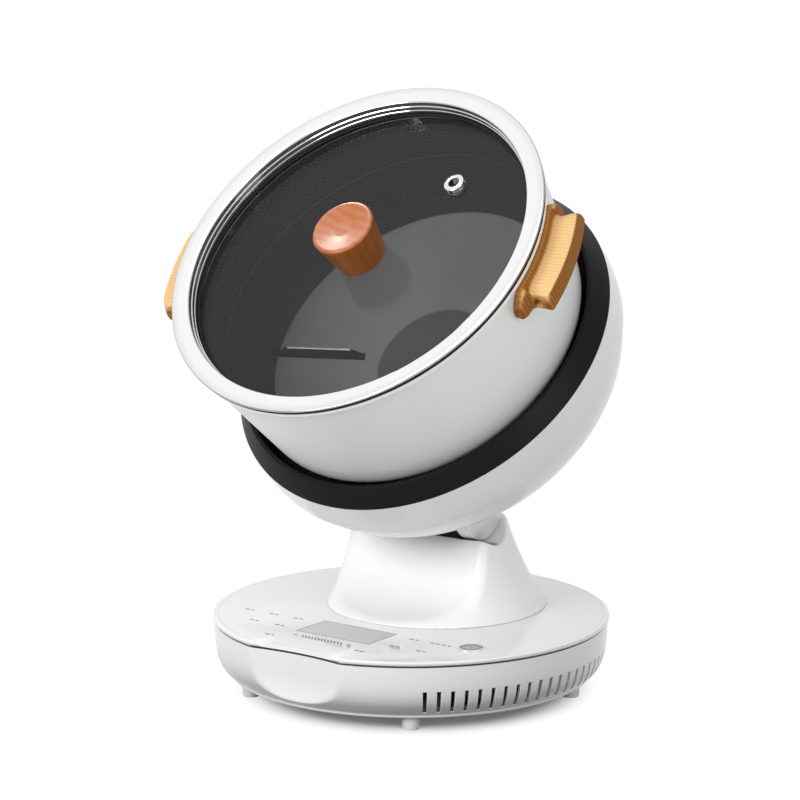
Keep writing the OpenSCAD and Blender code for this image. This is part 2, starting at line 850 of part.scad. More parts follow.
module hinge_bushes() {
    color(brass) both_sides() translate([0, hinge_y, hinge_z]) difference() {
        union() {
            bar_x(cheek_in, cheek_out, shaft_r + bush_wall - press_fit);
            bar_x(cheek_out, cheek_out + bush_flange, shaft_r + bush_wall + bush_flange);
        }
        bar_x(cheek_in - 1, cheek_out + bush_flange + 1, shaft_r + run_fit);
    }
}

module friction_washers() {
    inner = cheek_out + bush_flange;
    washer_w = 5;
    color(dark_grey) both_sides() translate([0, hinge_y, hinge_z]) difference() {
        bar_x(inner, knuckle_in - rest_gap, shaft_r + washer_w);
        bar_x(inner - 1, knuckle_in, shaft_r + move_gap);
    }
}

module tilt_shaft() {
    color(steel) translate([0, hinge_y, hinge_z]) bar_x(-knuckle_out, knuckle_out, shaft_r);
}

module hinge_yoke() {
    arm_d = 36;
    color(white) on_head() difference() {
        union() {
            translate([-knuckle_out, hinge_v - yoke_d / 2, -drive_low - yoke_t])
                cube([2 * knuckle_out, yoke_d, yoke_t]);
            both_sides() {
                translate([knuckle_in, hinge_v - arm_d / 2, -lid_rise])
                    cube([knuckle_w, arm_d, lid_rise - drive_low]);
                translate([0, hinge_v, -lid_rise]) bar_x(knuckle_in, knuckle_out, knuckle_r);
            }
        }
        translate([0, hinge_v, -lid_rise]) bar_x(-knuckle_out - 1, knuckle_out + 1, shaft_r + press_fit);
        at_yoke_screws() translate([0, 0, -drive_low]) screw_hole(12);
    }
}

module hinge_caps() {
    round = 1;
    color(white) on_head() both_sides() translate([knuckle_out, hinge_v, -lid_rise]) {
        bar_x(0, cap_t - round, knuckle_r);
        translate([cap_t - round, 0, 0]) rotate([0, 90, 0])
            cylinder(h = round, r1 = knuckle_r, r2 = knuckle_r - round);
    }
}

// Solid of the bowl, drawn in by a wall, with its spigot
module bowl_solid(wall) {
    top = bowl_spigot_top - (wall > 0 ? 1 : 0);
    side_start = -asin((band_bottom - side_depth) / (side_r - wall));
    rotate_extrude($fn = 180) polygon(concat(
        [[0, -top], [bowl_spigot_r - wall, -top], [bowl_spigot_r - wall, -band_bottom]],
        arc(side_x, -side_depth, side_r - wall, side_start, bowl_join - 90, 12),
        arc(0, -bottom_depth, bottom_r - wall, bowl_join - 90, -90, 12)));
}

module bowl_shell() {
    slot_gap = 0.8;
    window_r = knuckle_r + 12;
    color(white) on_head() difference() {
        union() {
            difference() {
                bowl_solid(0);
                bowl_solid(bowl_wall);
            }
            intersection() {
                bowl_solid(bowl_wall / 2);
                at_bosses() translate([0, 0, -bowl_pole]) cylinder(h = bowl_pole - drive_low, r = boss_r);
            }
        }
        at_bosses() translate([0, 0, -drive_low]) screw_hole(12, screw_r + thread_fit);
        translate([0, hinge_v, -lid_rise]) {
            bar_x(-knuckle_in, knuckle_in, window_r);
            both_sides() bar_x(knuckle_in - 1, knuckle_out + cap_t + slot_gap, knuckle_r + slot_gap);
        }
    }
}

module head_band() {
    step_r = bowl_spigot_r - 3.5;
    ledge_top = band_top + liner_flange_t;
    color(white) on_head() rotate_extrude($fn = 180) polygon([
        [band_inner_r, -band_top], [band_r, -band_top], [band_r, -band_bottom + 11],
        [band_r - 1.6, -band_bottom], [bowl_spigot_r + seat_fit, -band_bottom],
        [bowl_spigot_r + seat_fit, -bowl_spigot_top], [step_r, -bowl_spigot_top],
        [step_r, -bowl_spigot_top + 3], [band_inner_r, -bowl_spigot_top + 6],
        [band_inner_r, -ledge_top - ledge_t], [ledge_in, -ledge_top - ledge_t], [ledge_in, -ledge_top],
        [band_inner_r, -ledge_top]]);
}

module seat_collar() {
    foot_r = band_r + 0.1;
    color(black) on_head() rotate_extrude($fn = 180) polygon([
        [foot_r, -band_top], [foot_r, -band_top + 1], [collar_in + 0.8 + collar_edge, -collar_top],
        [collar_in + 0.8, -collar_top], [collar_in, -collar_top - 1], [collar_in, -band_top],
        [collar_in + collar_wall, -band_top], [collar_in + collar_wall, -collar_top - 4.5],
        [foot_r - collar_wall - 1, -band_top]]);
}

module well_liner() {
    wall_r = collar_in - 0.6;
    floor_r = wall_r - 8;
    low_at = liner_at(floor_r);
    soft = 4;
    color(dark_grey) on_head() difference() {
        rotate_extrude($fn = 180) polygon(concat(
            [[band_inner_r - seat_fit, -band_top], [wall_r, -band_top]],
            bend([wall_r, -low_at + soft], [wall_r, -low_at], [floor_r, -low_at], 5),
            [[liner_hole_r, -liner_at(liner_hole_r)], [liner_hole_r, -liner_at(liner_hole_r) - liner_t]],
            bend([floor_r, -low_at - liner_t], [wall_r + liner_t, -low_at - liner_t],
                 [wall_r + liner_t, -low_at + soft], 5),
            [[wall_r + liner_t, -band_top - liner_flange_t],
             [band_inner_r - seat_fit, -band_top - liner_flange_t]]));
        at_heat_sensor() screw_hole(bowl_pole, sensor_r + seat_fit);
    }
}

// A conical layer under the liner, between two radii
module under_liner(r_in, r_out, gap, thick) {
    top = liner_t + gap;
    rotate_extrude() polygon([
        [r_in, -liner_at(r_in) - top], [r_out, -liner_at(r_out) - top],
        [r_out, -liner_at(r_out) - top - thick], [r_in, -liner_at(r_in) - top - thick]]);
}

module induction_coil() {
    color(copper) on_head() under_liner(coil_in, coil_out, rest_gap, coil_t);
}

module coil_carrier() {
    post = 5;
    brim = 4;
    under = liner_t + rest_gap + coil_t + carrier_t;
    color(black) on_head() {
        under_liner(coil_in - brim, coil_out + brim, rest_gap + coil_t, carrier_t);
        for (i = [0 : 3]) rotate([0, 0, 90 * i]) translate([carrier_post_r, 0, -drive_depth])
            cylinder(h = drive_depth - liner_at(carrier_post_r) - under + 1, r = post);
    }
}

module ferrite_bars() {
    inset = 5;
    under = rest_gap + coil_t + carrier_t;
    color(dark_grey) on_head() intersection() {
        under_liner(coil_in + inset, coil_out - inset, under, ferrite_t);
        for (i = [0 : ferrite_count - 1]) rotate([0, 0, 360 / ferrite_count * (i + 0.5)])
            translate([0, -ferrite_w / 2, -bowl_pole]) cube([coil_out, ferrite_w, bowl_pole]);
    }
}

module at_heat_sensor() {
    rotate([0, 0, 90]) translate([sensor_ring_r, 0, 0]) children();
}

module heat_sensor() {
    flange_r = 7;
    flange_t = 2;
    color(steel) on_head() at_heat_sensor() translate([0, 0, -drive_depth]) {
        cylinder(h = drive_depth - pot_depth - move_gap, r = sensor_r);
        cylinder(h = flange_t, r = flange_r);
    }
}

module drive_plate() {
    color(steel) on_head() difference() {
        translate([0, 0, -drive_low]) cylinder(h = drive_t, r = drive_plate_r);
        translate([0, 0, -drive_depth]) screw_hole(2 * drive_t, plate_hole_r);
        at_bosses() translate([0, 0, -drive_depth]) screw_hole(2 * drive_t);
        at_yoke_screws() translate([0, 0, -drive_depth]) screw_hole(2 * drive_t);
        at_bracket_posts() translate([0, 0, -drive_depth]) screw_hole(2 * drive_t);
    }
}

module plate_screws() {
    color(steel) on_head() translate([0, 0, -drive_depth]) {
        at_bosses() screw(drive_t + 10);
        at_yoke_screws() screw(drive_t + yoke_t);
    }
}

module bearing_housing() {
    flange_r = 20;
    flange_t = 3;
    color(steel) on_head() translate([0, 0, -drive_depth]) difference() {
        union() {
            cylinder(h = flange_t, r = flange_r);
            cylinder(h = housing_h, r = bearing_r + housing_wall);
        }
        translate([0, 0, -1]) cylinder(h = housing_h + 2, r = plate_hole_r);
        translate([0, 0, housing_h - bearing_w]) cylinder(h = bearing_w + 1, r = bearing_r + press_fit);
    }
}

module drive_bearings() {
    color(steel) on_head() for (top = [drive_depth - housing_h, bracket_low - bearing_w])
        translate([0, 0, -top - bearing_w]) ring(bearing_r, drive_shaft_r + run_fit, bearing_w);
}

module motor_bracket() {
    margin = 10;
    brim = 2;
    half_w = motor_r + margin;
    collar_r = 7;
    color(steel) on_head() difference() {
        union() {
            translate([0, 0, -bracket_low]) {
                cylinder(h = bracket_t, r = bracket_near_x + bracket_post_r + brim);
                translate([-half_w, 0, 0]) cube([2 * half_w, gear_distance + margin, bracket_t]);
            }
            translate([0, 0, -bracket_low]) at_bracket_posts()
                cylinder(h = bracket_low - drive_low, r = bracket_post_r);
        }
        translate([0, 0, -bracket_low - 1]) cylinder(h = bearing_w + 1, r = bearing_r + press_fit);
        translate([0, 0, -bracket_low]) cylinder(h = 2 * bracket_t, r = plate_hole_r);
        translate([0, gear_distance, -bracket_low - 1]) cylinder(h = 2 * bracket_t, r = collar_r);
        at_bracket_posts() translate([0, 0, -drive_low]) screw_hole(10, screw_r + thread_fit);
    }
}

module bracket_screws() {
    color(steel) on_head() translate([0, 0, -drive_depth]) at_bracket_posts() screw(drive_t + 8);
}

module drive_motor() {
    color(steel) on_head() translate([0, gear_distance, -bracket_low]) {
        translate([0, 0, -motor_l]) cylinder(h = motor_l, r = motor_r);
        cylinder(h = bracket_low - gear_top, r = spindle_r);
    }
}

module motor_pinion() {
    color(brass) on_head() translate([0, gear_distance, -gear_low]) difference() {
        linear_extrude(gear_w) polygon(gear_points(pinion_teeth));
        translate([0, 0, -1]) cylinder(h = gear_w + 2, r = spindle_r + run_fit);
    }
}

module drive_shaft() {
    color(steel) on_head() translate([0, 0, -bracket_low])
        cylinder(h = bracket_low - hub_low + 4, r = drive_shaft_r);
}

module driven_gear() {
    color(brass) on_head() translate([0, 0, -gear_low]) difference() {
        linear_extrude(gear_w) polygon(gear_points(gear_teeth));
        translate([0, 0, -1]) cylinder(h = gear_w + 2, r = drive_shaft_r + press_fit);
    }
}

module drive_coupling() {
    color(steel) on_head() rotate([0, 0, pot_turn]) difference() {
        union() {
            translate([0, 0, -hub_low - coupling_flange_h])
                cylinder(h = coupling_flange_h, r = hub_r - 8);
            translate([0, 0, -hub_low]) cylinder(h = hub_h - 1, r = hex_r, $fn = 6);
        }
        translate([0, 0, -hub_low - coupling_flange_h - 1])
            cylinder(h = coupling_flange_h + 5, r = drive_shaft_r + press_fit);
    }
}

// Outline of the pot's wall and bottom on one side of the metal
function pot_side(inset, top) =
    let (knee = [pot_low_r - inset, -knee_depth + inset], disc = [pot_disc_r, -pot_depth + inset],
         high = [pot_r_at(top) - inset, -top], soft = 10)
    concat([[0, disc[1]], disc], bend(toward(knee, disc, soft), knee, toward(knee, high, soft)), [high]);

function reversed(list) = [for (i = [len(list) - 1 : -1 : 0]) list[i]];

module pot_body() {
    bead = 1.2;
    rib_in = pot_disc_r + 11;
    rib_out = pot_low_r - 9;
    rib_slope = 8;
    rib_floor = [for (r = [rib_in, rib_out]) -pot_depth + (r - pot_disc_r) * liner_slope];
    color(dark_grey) on_pot() difference() {
        union() {
            rotate_extrude($fn = 180) polygon(concat(
                pot_side(0, rim_foot),
                bend([pot_rim_r - bead, -rim_foot], [pot_rim_r, -rim_foot], [pot_rim_r, -rim_foot + bead], 3),
                bend([pot_rim_r, -rim_top - bead], [pot_rim_r, -rim_top], [pot_rim_r - bead, -rim_top], 3),
                reversed(pot_side(pot_wall, rim_top))));
            rotate([0, 0, rib_angle]) rotate([90, 0, 0]) linear_extrude(rib_w, center = true) polygon([
                [rib_in, rib_floor[0] + 1], [rib_in, rib_floor[0] + pot_wall],
                [rib_in + rib_slope, rib_floor[0] + pot_wall + rib_h],
                [rib_out - rib_slope, rib_floor[1] + pot_wall + rib_h], [rib_out, rib_floor[1] + pot_wall],
                [rib_out, rib_floor[1] + 1]]);
        }
        at_handle_screws() screw_hole(2 * handle_screw_l);
    }
}

module pot_hub() {
    color(steel) on_pot() translate([0, 0, -hub_low]) difference() {
        cylinder(h = hub_h, r = hub_r);
        translate([0, 0, -1]) cylinder(h = hub_h + 2, r = hex_r + move_gap, $fn = 6);
    }
}

// Screws through the pot's wall into the handles' feet, heads inside the pot
module at_handle_screws(sides = [0, 180]) {
    depth = grip_top + grip_t / 2 - 1;
    reach = (handle_span - foot_span) / 2;
    for (side = sides, a = [-reach, reach]) rotate([0, 0, side + a])
        translate([pot_r_at(depth) - pot_wall, 0, -depth]) rotate([0, pot_draft - 90, 0]) children();
}

// A ring segment of wood, centred on an angle
module wood_arc(middle, span, points) {
    rotate([0, 0, middle - span / 2]) rotate_extrude(angle = span, $fn = 180) polygon(points);
}

// One handle: a curved grip with a lower web behind it and a wider foot at each end
module pot_handle(side) {
    chamfer = grip_w / 8;
    grip_low = grip_top + grip_t;
    web_top = grip_top + grip_t / 4;
    foot_top = grip_top - grip_t / 6;
    foot_low = grip_low - seat_fit;
    foot_out = grip_in + chamfer;
    foot_middle = (handle_span - foot_span) / 2;
    color(pine) on_pot() rotate([0, 0, side]) difference() {
        union() {
            wood_arc(0, grip_span, [
                [grip_in, -grip_top], [grip_out - chamfer / 2, -grip_top],
                [grip_out, -grip_top - chamfer / 2], [grip_out, -grip_low + chamfer],
                [grip_out - chamfer, -grip_low],
                [pot_r_at(grip_low) + seat_fit, -grip_low], [pot_r_at(web_top) + seat_fit, -web_top],
                [grip_in, -web_top]]);
            for (end = [-1, 1]) wood_arc(end * foot_middle, foot_span, [
                [pot_r_at(foot_top) + seat_fit, -foot_top], [foot_out - 2 * chamfer, -foot_top],
                [foot_out, -foot_top - 2 * chamfer], [foot_out, -foot_low + 3 * chamfer],
                [foot_out - 2 * chamfer, -foot_low], [pot_r_at(foot_low) + seat_fit, -foot_low]]);
        }
        at_handle_screws([0]) screw_hole(handle_screw_l, screw_r + thread_fit);
    }
}

module pot_handle_right() {
    pot_handle(0);
}

module pot_handle_left() {
    pot_handle(180);
}

module handle_screws() {
    color(steel) on_pot() at_handle_screws() translate([0, 0, rest_gap])
        screw(handle_screw_l, head_h = 1.5);
}

module lid_rim() {
    edge = 1;
    floor_t = 1.5;
    color(steel) on_head() rotate_extrude($fn = 180) polygon(concat(
        [[lid_r, -lid_lip]],
        bend([lid_r, -edge], [lid_r, 0], [lid_r - edge, 0], 4),
        bend([lid_in_r + edge, 0], [lid_in_r, 0], [lid_in_r, -edge], 4),
        [[lid_in_r, -glass_depth], [glass_r, -glass_depth], [glass_r, -glass_low], [lid_in_r, -glass_low],
         [lid_in_r, -glass_low - floor_t], [lid_wall_r, -glass_low - floor_t], [lid_wall_r, -lid_t],
         [lid_r - 1, -lid_t], [lid_r - 1, -lid_lip]]));
}

module lid_glass() {
    color(smoke) on_head() difference() {
        translate([0, 0, -glass_low]) cylinder(h = glass_t, r = glass_r - seat_fit);
        translate([0, 0, -glass_low]) screw_hole(2 * glass_t, knob_screw_r + seat_fit);
        at_steam_vent() screw_hole(2 * glass_low, vent_hole_r + 1.2 + seat_fit);
    }
}

module lid_gasket() {
    color(black) on_head() translate([0, 0, -rim_top])
        ring(lid_r - 1 - seat_fit, lid_wall_r + seat_fit, gasket_t);
}

module lid_knob() {
    edge = 3;
    crown = 1.5;
    top = knob_h - glass_depth;
    color(red_wood) on_head() difference() {
        rotate_extrude() polygon(concat(
            [[0, -glass_depth], [knob_foot_r - 1, -glass_depth], [knob_foot_r, -glass_depth + 1]],
            bend([knob_r, top - edge - crown], [knob_r, top - crown], [knob_r - edge, top - crown], 4),
            bend([knob_r - edge, top - crown], [knob_r / 2, top], [0, top], 5)));
        translate([0, 0, -glass_depth]) screw_hole(knob_h / 2, knob_screw_r + thread_fit);
    }
}

module knob_screw() {
    washer_r = 9;
    washer_t = 1.5;
    color(steel) on_head() translate([0, 0, -glass_low]) mirror([0, 0, 1]) {
        cylinder(h = washer_t, r = washer_r);
        translate([0, 0, washer_t]) screw(0.1, knob_screw_r, 5, 3);
        translate([0, 0, -glass_t - knob_h / 2 + 2]) cylinder(h = glass_t + knob_h / 2 - 1, r = knob_screw_r);
    }
}

module at_steam_vent() {
    rotate([0, 0, vent_angle]) translate([vent_ring_r, 0, 0]) children();
}

module steam_vent() {
    flange_t = 1.2;
    color(steel) on_head() at_steam_vent() translate([0, 0, -glass_low]) difference() {
        union() {
            cylinder(h = glass_t, r = vent_hole_r + 1.2);
            translate([0, 0, glass_t]) cylinder(h = flange_t, r = vent_flange_r);
            translate([0, 0, -flange_t]) cylinder(h = flange_t, r = vent_flange_r);
        }
        translate([0, 0, -5]) cylinder(h = glass_t + 10, r = vent_hole_r);
    }
}

bottom_plate();
rubber_feet();
foot_screws();
base_shell();
deck_cover();
display_window();
display_module();
control_board();
button_switch();
button_bezel();
power_button();
power_board();
heat_sink();
fan_frame();
fan_rotor();
mains_inlet();
column_frame();
frame_screws();
column_shell();
hinge_bushes();
friction_washers();
tilt_shaft();
hinge_yoke();
hinge_caps();
bowl_shell();
head_band();
seat_collar();
well_liner();
induction_coil();
coil_carrier();
ferrite_bars();
heat_sensor();
drive_plate();
plate_screws();
bearing_housing();
drive_bearings();
motor_bracket();
bracket_screws();
drive_motor();
motor_pinion();
drive_shaft();
driven_gear();
drive_coupling();
pot_body();
pot_hub();
pot_handle_right();
pot_handle_left();
handle_screws();
lid_rim();
lid_glass();
lid_gasket();
lid_knob();
knob_screw();
steam_vent();
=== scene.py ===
"""Finishes for the stir fry machine: shells, turned steel and wood, panel marks, studio light and camera."""

import json
import math
from types import SimpleNamespace

import bmesh
import bpy
import numpy as np
from mathutils import Matrix, Vector

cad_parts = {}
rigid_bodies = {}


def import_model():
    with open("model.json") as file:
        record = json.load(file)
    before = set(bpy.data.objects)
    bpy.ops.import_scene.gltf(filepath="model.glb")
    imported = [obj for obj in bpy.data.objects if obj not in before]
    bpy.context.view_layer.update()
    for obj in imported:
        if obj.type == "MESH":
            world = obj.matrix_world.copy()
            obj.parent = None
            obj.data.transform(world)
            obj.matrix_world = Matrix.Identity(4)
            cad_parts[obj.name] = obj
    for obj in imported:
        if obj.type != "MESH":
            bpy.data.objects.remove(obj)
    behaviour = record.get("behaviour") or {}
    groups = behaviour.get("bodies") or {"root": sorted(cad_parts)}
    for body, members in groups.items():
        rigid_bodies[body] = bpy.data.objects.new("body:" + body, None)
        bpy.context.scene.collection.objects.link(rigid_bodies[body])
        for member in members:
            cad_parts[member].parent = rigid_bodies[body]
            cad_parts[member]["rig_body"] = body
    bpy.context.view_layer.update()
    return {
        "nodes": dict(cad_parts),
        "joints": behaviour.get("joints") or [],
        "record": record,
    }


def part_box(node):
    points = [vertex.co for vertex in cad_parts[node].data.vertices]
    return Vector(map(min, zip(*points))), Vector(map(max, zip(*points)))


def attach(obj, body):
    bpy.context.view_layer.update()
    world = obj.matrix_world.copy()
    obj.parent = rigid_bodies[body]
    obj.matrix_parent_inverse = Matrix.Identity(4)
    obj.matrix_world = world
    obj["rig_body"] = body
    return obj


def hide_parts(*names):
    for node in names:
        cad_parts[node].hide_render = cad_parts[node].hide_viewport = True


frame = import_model()
nodes = frame["nodes"]
joints = {j["name"]: j for j in frame["joints"]}
slot_of = {s["node"]: s["material_slot"] for s in frame["record"]["subparts"]}

# Sizes below are in millimetres, and Blender's are in metres
MM = 0.001

WORLD = Matrix.Identity(4)

# The head's own frame: its origin is the middle of the lid's top face, and it looks up the pot's axis
pot_axis = Vector(joints["pot_turn"]["axis"])
lid_middle = Vector(joints["pot_turn"]["pos_m"])
HEAD = Matrix.Translation(lid_middle) @ Matrix.Rotation(math.acos(pot_axis.z), 4, "X")


def head_reach(node):
    """A solid's least and greatest radius about the pot's axis and depth below the lid's top face."""
    inverse = HEAD.inverted()
    points = np.array([inverse @ v.co for v in nodes[node].data.vertices]) / MM
    radius = np.hypot(points[:, 0], points[:, 1])
    depth = -points[:, 2]
    return SimpleNamespace(near=radius.min(), far=radius.max(), top=depth.min(), low=depth.max())


# Levels and radii taken from the solids
deck_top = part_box("deck_cover")[1].z / MM
deck_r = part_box("deck_cover")[1].x / MM
shell_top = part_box("base_shell")[1].z / MM
lid = head_reach("lid_rim")
glass = head_reach("lid_glass")
gasket = head_reach("lid_gasket")
pot = head_reach("pot_body")
collar = head_reach("seat_collar")
knob = head_reach("lid_knob")

# The base shell, its hollow and its vent slots
DECK_T = 3.0
BASE_WALL = 2.6
SHELL_IN = 10.0
SHELL_BULGE = 0.5
SHELL_KNEE = 5.0
SCALLOP_DEPTH = 10.5
SCALLOP_R = 210.0
SLOT_COUNT = 26
SLOT_PITCH = 4.0
SLOT_W = 3.0
SLOT_H = 16.5
SLOT_RISE = 2.5

# The pot's wall, rim and floor, and its stirring rib
POT_WALL = 2.6
POT_RIM_H = 4.0
POT_LIP = 2.3
POT_DRAW = 13.5
POT_KNEE = 115.5
POT_DISC_R = 46.0
POT_TURN = 8.5
RIB_ANGLE = 191.0
RIB_OFFSET = -10.7
RIB_IN = 57.0
RIB_OUT = 116.0
RIB_H = 6.0
RIB_W = 6.4
POT_FRAME = HEAD @ Matrix.Rotation(math.radians(POT_TURN), 4, "Z")
RIB_SHIFT = Matrix.Translation((0, RIB_OFFSET * MM, 0))
RIB_FRAME = POT_FRAME @ Matrix.Rotation(math.radians(RIB_ANGLE), 4, "Z") @ RIB_SHIFT

# The handles
GRIP_IN = 152.0
GRIP_OUT = 168.6
GRIP_TOP = 16.5
GRIP_LOW = 32.0
GRIP_SPAN = 28.5
HANDLE_SPAN = 38.0

# The steam vent
VENT_RING_R = 86.0
VENT_ANGLE = 58.0

# Camera: where the photograph was taken from, in degrees and metres, and its lens and sensor
CAMERA_AZIMUTH = 36.3
CAMERA_ELEVATION = 10.82
CAMERA_PLACE = (1.45397, -1.99350, 0.69003)
CAMERA_LENS = 150.745
CAMERA_SENSOR = 36.0

# The point that the lamps look at, in metres
LIT_POINT = Vector((0, 0, 0.22))


class Socket:
    """A node's output, so that shader maths reads as plain expressions."""

    def __init__(self, sheet, socket):
        self.sheet = sheet
        self.socket = socket

    def math(self, operation, first, second=0.0):
        return self.sheet.add("ShaderNodeMath", {0: first, 1: second}, operation=operation)

    def __add__(self, other):
        return self.math("ADD", self, other)

    def __sub__(self, other):
        return self.math("SUBTRACT", self, other)

    def __rsub__(self, other):
        return self.math("SUBTRACT", other, self)

    def __mul__(self, other):
        return self.math("MULTIPLY", self, other)

    __radd__ = __add__
    __rmul__ = __mul__

    def __pow__(self, other):
        return self.math("POWER", self, other)

    def __abs__(self):
        return self.math("ABSOLUTE", self)

    def sine(self):
        return self.math("SINE", self)

    def most(self, other):
        return self.math("MAXIMUM", self, other)

    def step(self, low, high):
        """0 before low, 1 past high, and a smooth rise between them."""
        rise = {0: self, 1: min(low, high), 2: max(low, high)}
        share = self.sheet.add("ShaderNodeMapRange", rise, interpolation_type="SMOOTHSTEP")
        return share if low < high else 1 - share

    def between(self, low, high, soft):
        """1 from low to high, fading out over a soft edge."""
        return self.step(low - soft, low) * self.step(high + soft, high)


class Sheet:
    """A node tree, with a short way to add nodes to it."""

    def __init__(self, tree):
        self.tree = tree

    def node(self, kind, inputs=None, **settings):
        """A new node: its settings first, and then the values or links of its sockets."""
        node = self.tree.nodes.new(kind)
        for words, value in settings.items():
            setattr(node, words, value)
        for words, value in (inputs or {}).items():
            self.put(value, node.inputs[words])
        return node

    def add(self, kind, inputs=None, output=0, **settings):
        """One output of a new node."""
        return Socket(self, self.node(kind, inputs, **settings).outputs[output])

    def put(self, value, socket):
        if isinstance(value, Socket):
            self.tree.links.new(value.socket, socket)
        else:
            socket.default_value = value

    def join(self, x, y, z):
        return self.add("ShaderNodeCombineXYZ", {0: x, 1: y, 2: z})

    def seen_ray(self):
        """1 for a ray that the camera sees, straight, mirrored or through glass."""
        path = self.node("ShaderNodeLightPath").outputs
        kinds = ("Camera", "Glossy", "Transmission")
        seen, shine, through = (Socket(self, path["Is %s Ray" % kind]) for kind in kinds)
        return seen.most(shine).most(through)


class Finish(Sheet):
    """A material: one Principled shader with constant sockets, and the nodes that feed the others."""

    def __init__(self, name, **constants):
        self.material = bpy.data.materials.new(name)
        self.material.use_nodes = True
        super().__init__(self.material.node_tree)
        self.shader = self.tree.nodes["Principled BSDF"]
        self.feed(**constants)

    def feed(self, **values):
        for words, value in values.items():
            self.put(value, self.shader.inputs[SOCKET_NAMES[words]])
        return self.material

    def mix(self, share, first, second):
        """A colour between two colours, where a number is a grey."""
        first, second = (grey(c) if isinstance(c, float) else c for c in (first, second))
        inputs = {0: share, 6: first, 7: second}
        return self.add("ShaderNodeMix", inputs, 2, data_type="RGBA", clamp_factor=True)

    def place(self, matrix=WORLD):
        """Object coordinates in millimetres, measured in the frame of a matrix."""
        point = self.add("ShaderNodeTexCoord", output="Object")
        inverse = matrix.inverted()
        return self.add("ShaderNodeMapping", {
            "Vector": point, "Location": inverse.translation / MM, "Rotation": inverse.to_euler(),
            "Scale": (1 / MM, 1 / MM, 1 / MM)}, vector_type="POINT")

    def facing(self, matrix):
        """How far a face looks along a frame's upward axis."""
        normal = self.add("ShaderNodeTexCoord", output="Normal")
        upward = matrix.to_3x3() @ Vector((0, 0, 1))
        return self.add("ShaderNodeVectorMath", {0: normal, 1: upward}, "Value", operation="DOT_PRODUCT")

    def split(self, vector):
        return [Socket(self, s) for s in self.node("ShaderNodeSeparateXYZ", {0: vector}).outputs]

    def polar(self, vector):
        """Radius, angle and height of a point about the upward axis."""
        x, y, z = self.split(vector)
        return (x * x + y * y) ** 0.5, x.math("ARCTAN2", y, x), z

    def noise(self, vector, per_mm, detail=2.0):
        inputs = {"Vector": vector, "Scale": per_mm, "Detail": detail}
        return self.add("ShaderNodeTexNoise", inputs, "Fac")

    def cells(self, vector, per_mm):
        return self.add("ShaderNodeTexVoronoi", {"Vector": vector, "Scale": per_mm}, "Distance")

    def bump(self, height, depth):
        return self.add("ShaderNodeBump", {"Height": height, "Distance": depth * MM, "Strength": 1.0})

    def lathe(self, matrix, around=2.0, lines=3.0, wide=0.02):
        """Radius and height about an axis, fine lines round it and a wide haze."""
        at = self.place(matrix)
        radius, angle, height = self.polar(at)
        rings = self.noise(self.join(radius, height, angle * around), lines)
        return radius, height, rings, self.noise(at, wide)


SOCKET_NAMES = {
    "color": "Base Color", "metallic": "Metallic", "roughness": "Roughness", "ior": "IOR",
    "alpha": "Alpha", "normal": "Normal", "specular": "Specular IOR Level", "coat": "Coat Weight",
    "coat_roughness": "Coat Roughness",
}


def grey(level):
    return (level, level, level, 1.0)


def scaled(color, share):
    return tuple(c * share for c in color[:3]) + (1.0,)


# Plastics and rubber

def gloss_plastic(name, level, rough=0.3, coat=0.55, paints=()):
    """Moulded gloss plastic: faint flow marks under a clear, nearly flat skin, and paints over its colour."""
    skin = Finish(name, coat_roughness=0.03, specular=0.4)
    at = skin.place()
    flow = skin.noise(at, 0.012, 3.0)
    peel = skin.noise(at, 0.16, 1.0)
    color = skin.mix(flow, level, level - 0.02)
    for paint in paints:
        color = paint(skin, color, at)
    return skin.feed(
        color=color,
        roughness=rough + 0.05 * peel,
        coat=coat + 0.1 * flow,
        normal=skin.bump(peel, 0.003))


def painted_seam_shade(skin, color, at):
    """Painted shade: dark bands in the seams under the deck and at the column's foot."""
    height = skin.split(at)[2]
    for low, high, dark in SEAM_SHADE_BANDS:
        color = skin.mix(height.between(low, high, 0.1), color, dark)
    return color


def deck_line(skin, color, at):
    """A fine grey line that follows the deck's edge and its hollow."""
    x, y = skin.split(at)[:2]
    beyond = y + (deck_r - SCALLOP_DEPTH + SCALLOP_R)
    from_edge = deck_r - (x * x + y * y) ** 0.5
    from_hollow = (x * x + beyond * beyond) ** 0.5 - SCALLOP_R
    inset = from_edge.math("MINIMUM", from_edge, from_hollow)
    return skin.mix(0.3 * inset.between(3.6, 4.2, 0.3), color, 0.35)


def foot_shade(skin, color, at):
    """Painted shade: a greyer colour on faces that look downward, where the base turns under."""
    under = skin.facing(WORLD).step(-0.06, -0.46)
    return skin.mix(0.5 * under, color, 0.0)


def painted_hinge_shade(skin, color, at):
    """Painted shade: a dark band on the column round the hinge's gap, darkest in front."""
    x, y, height = skin.split(at)
    hinge = Vector(joints["head_tilt"]["pos_m"]) / MM
    back, rise = y - hinge.y, height - hinge.z
    near = ((back * back + rise * rise) ** 0.5).step(26.6, 25.2)
    front = 0.12 + 0.88 * back.step(4.0, -5.0)
    return skin.mix(near * front * abs(x).step(2.0, 14.0), color, 0.008)


def satin_plastic(name, color, rough=0.42, grain=1.6, depth=0.02, specular=0.45):
    """Moulded plastic with a fine spark-eroded grain."""
    skin = Finish(name, specular=specular)
    at = skin.place()
    fine = skin.noise(at, grain, 3.0)
    wide = skin.noise(at, 0.03)
    return skin.feed(
        color=skin.mix(0.6 * fine + 0.4 * wide, color, scaled(color, 1.4)),
        roughness=rough + 0.16 * (fine - 0.5),
        normal=skin.bump(fine, depth))


def soft_rubber(name, level):
    """Rubber with dust in its pores."""
    skin = Finish(name, specular=0.25)
    pores = skin.noise(skin.place(), 1.1, 4.0)
    return skin.feed(
        color=skin.mix(pores, level * 0.9, level * 1.1),
        roughness=0.6 + 0.25 * pores,
        normal=skin.bump(pores, 0.03))


# Metals

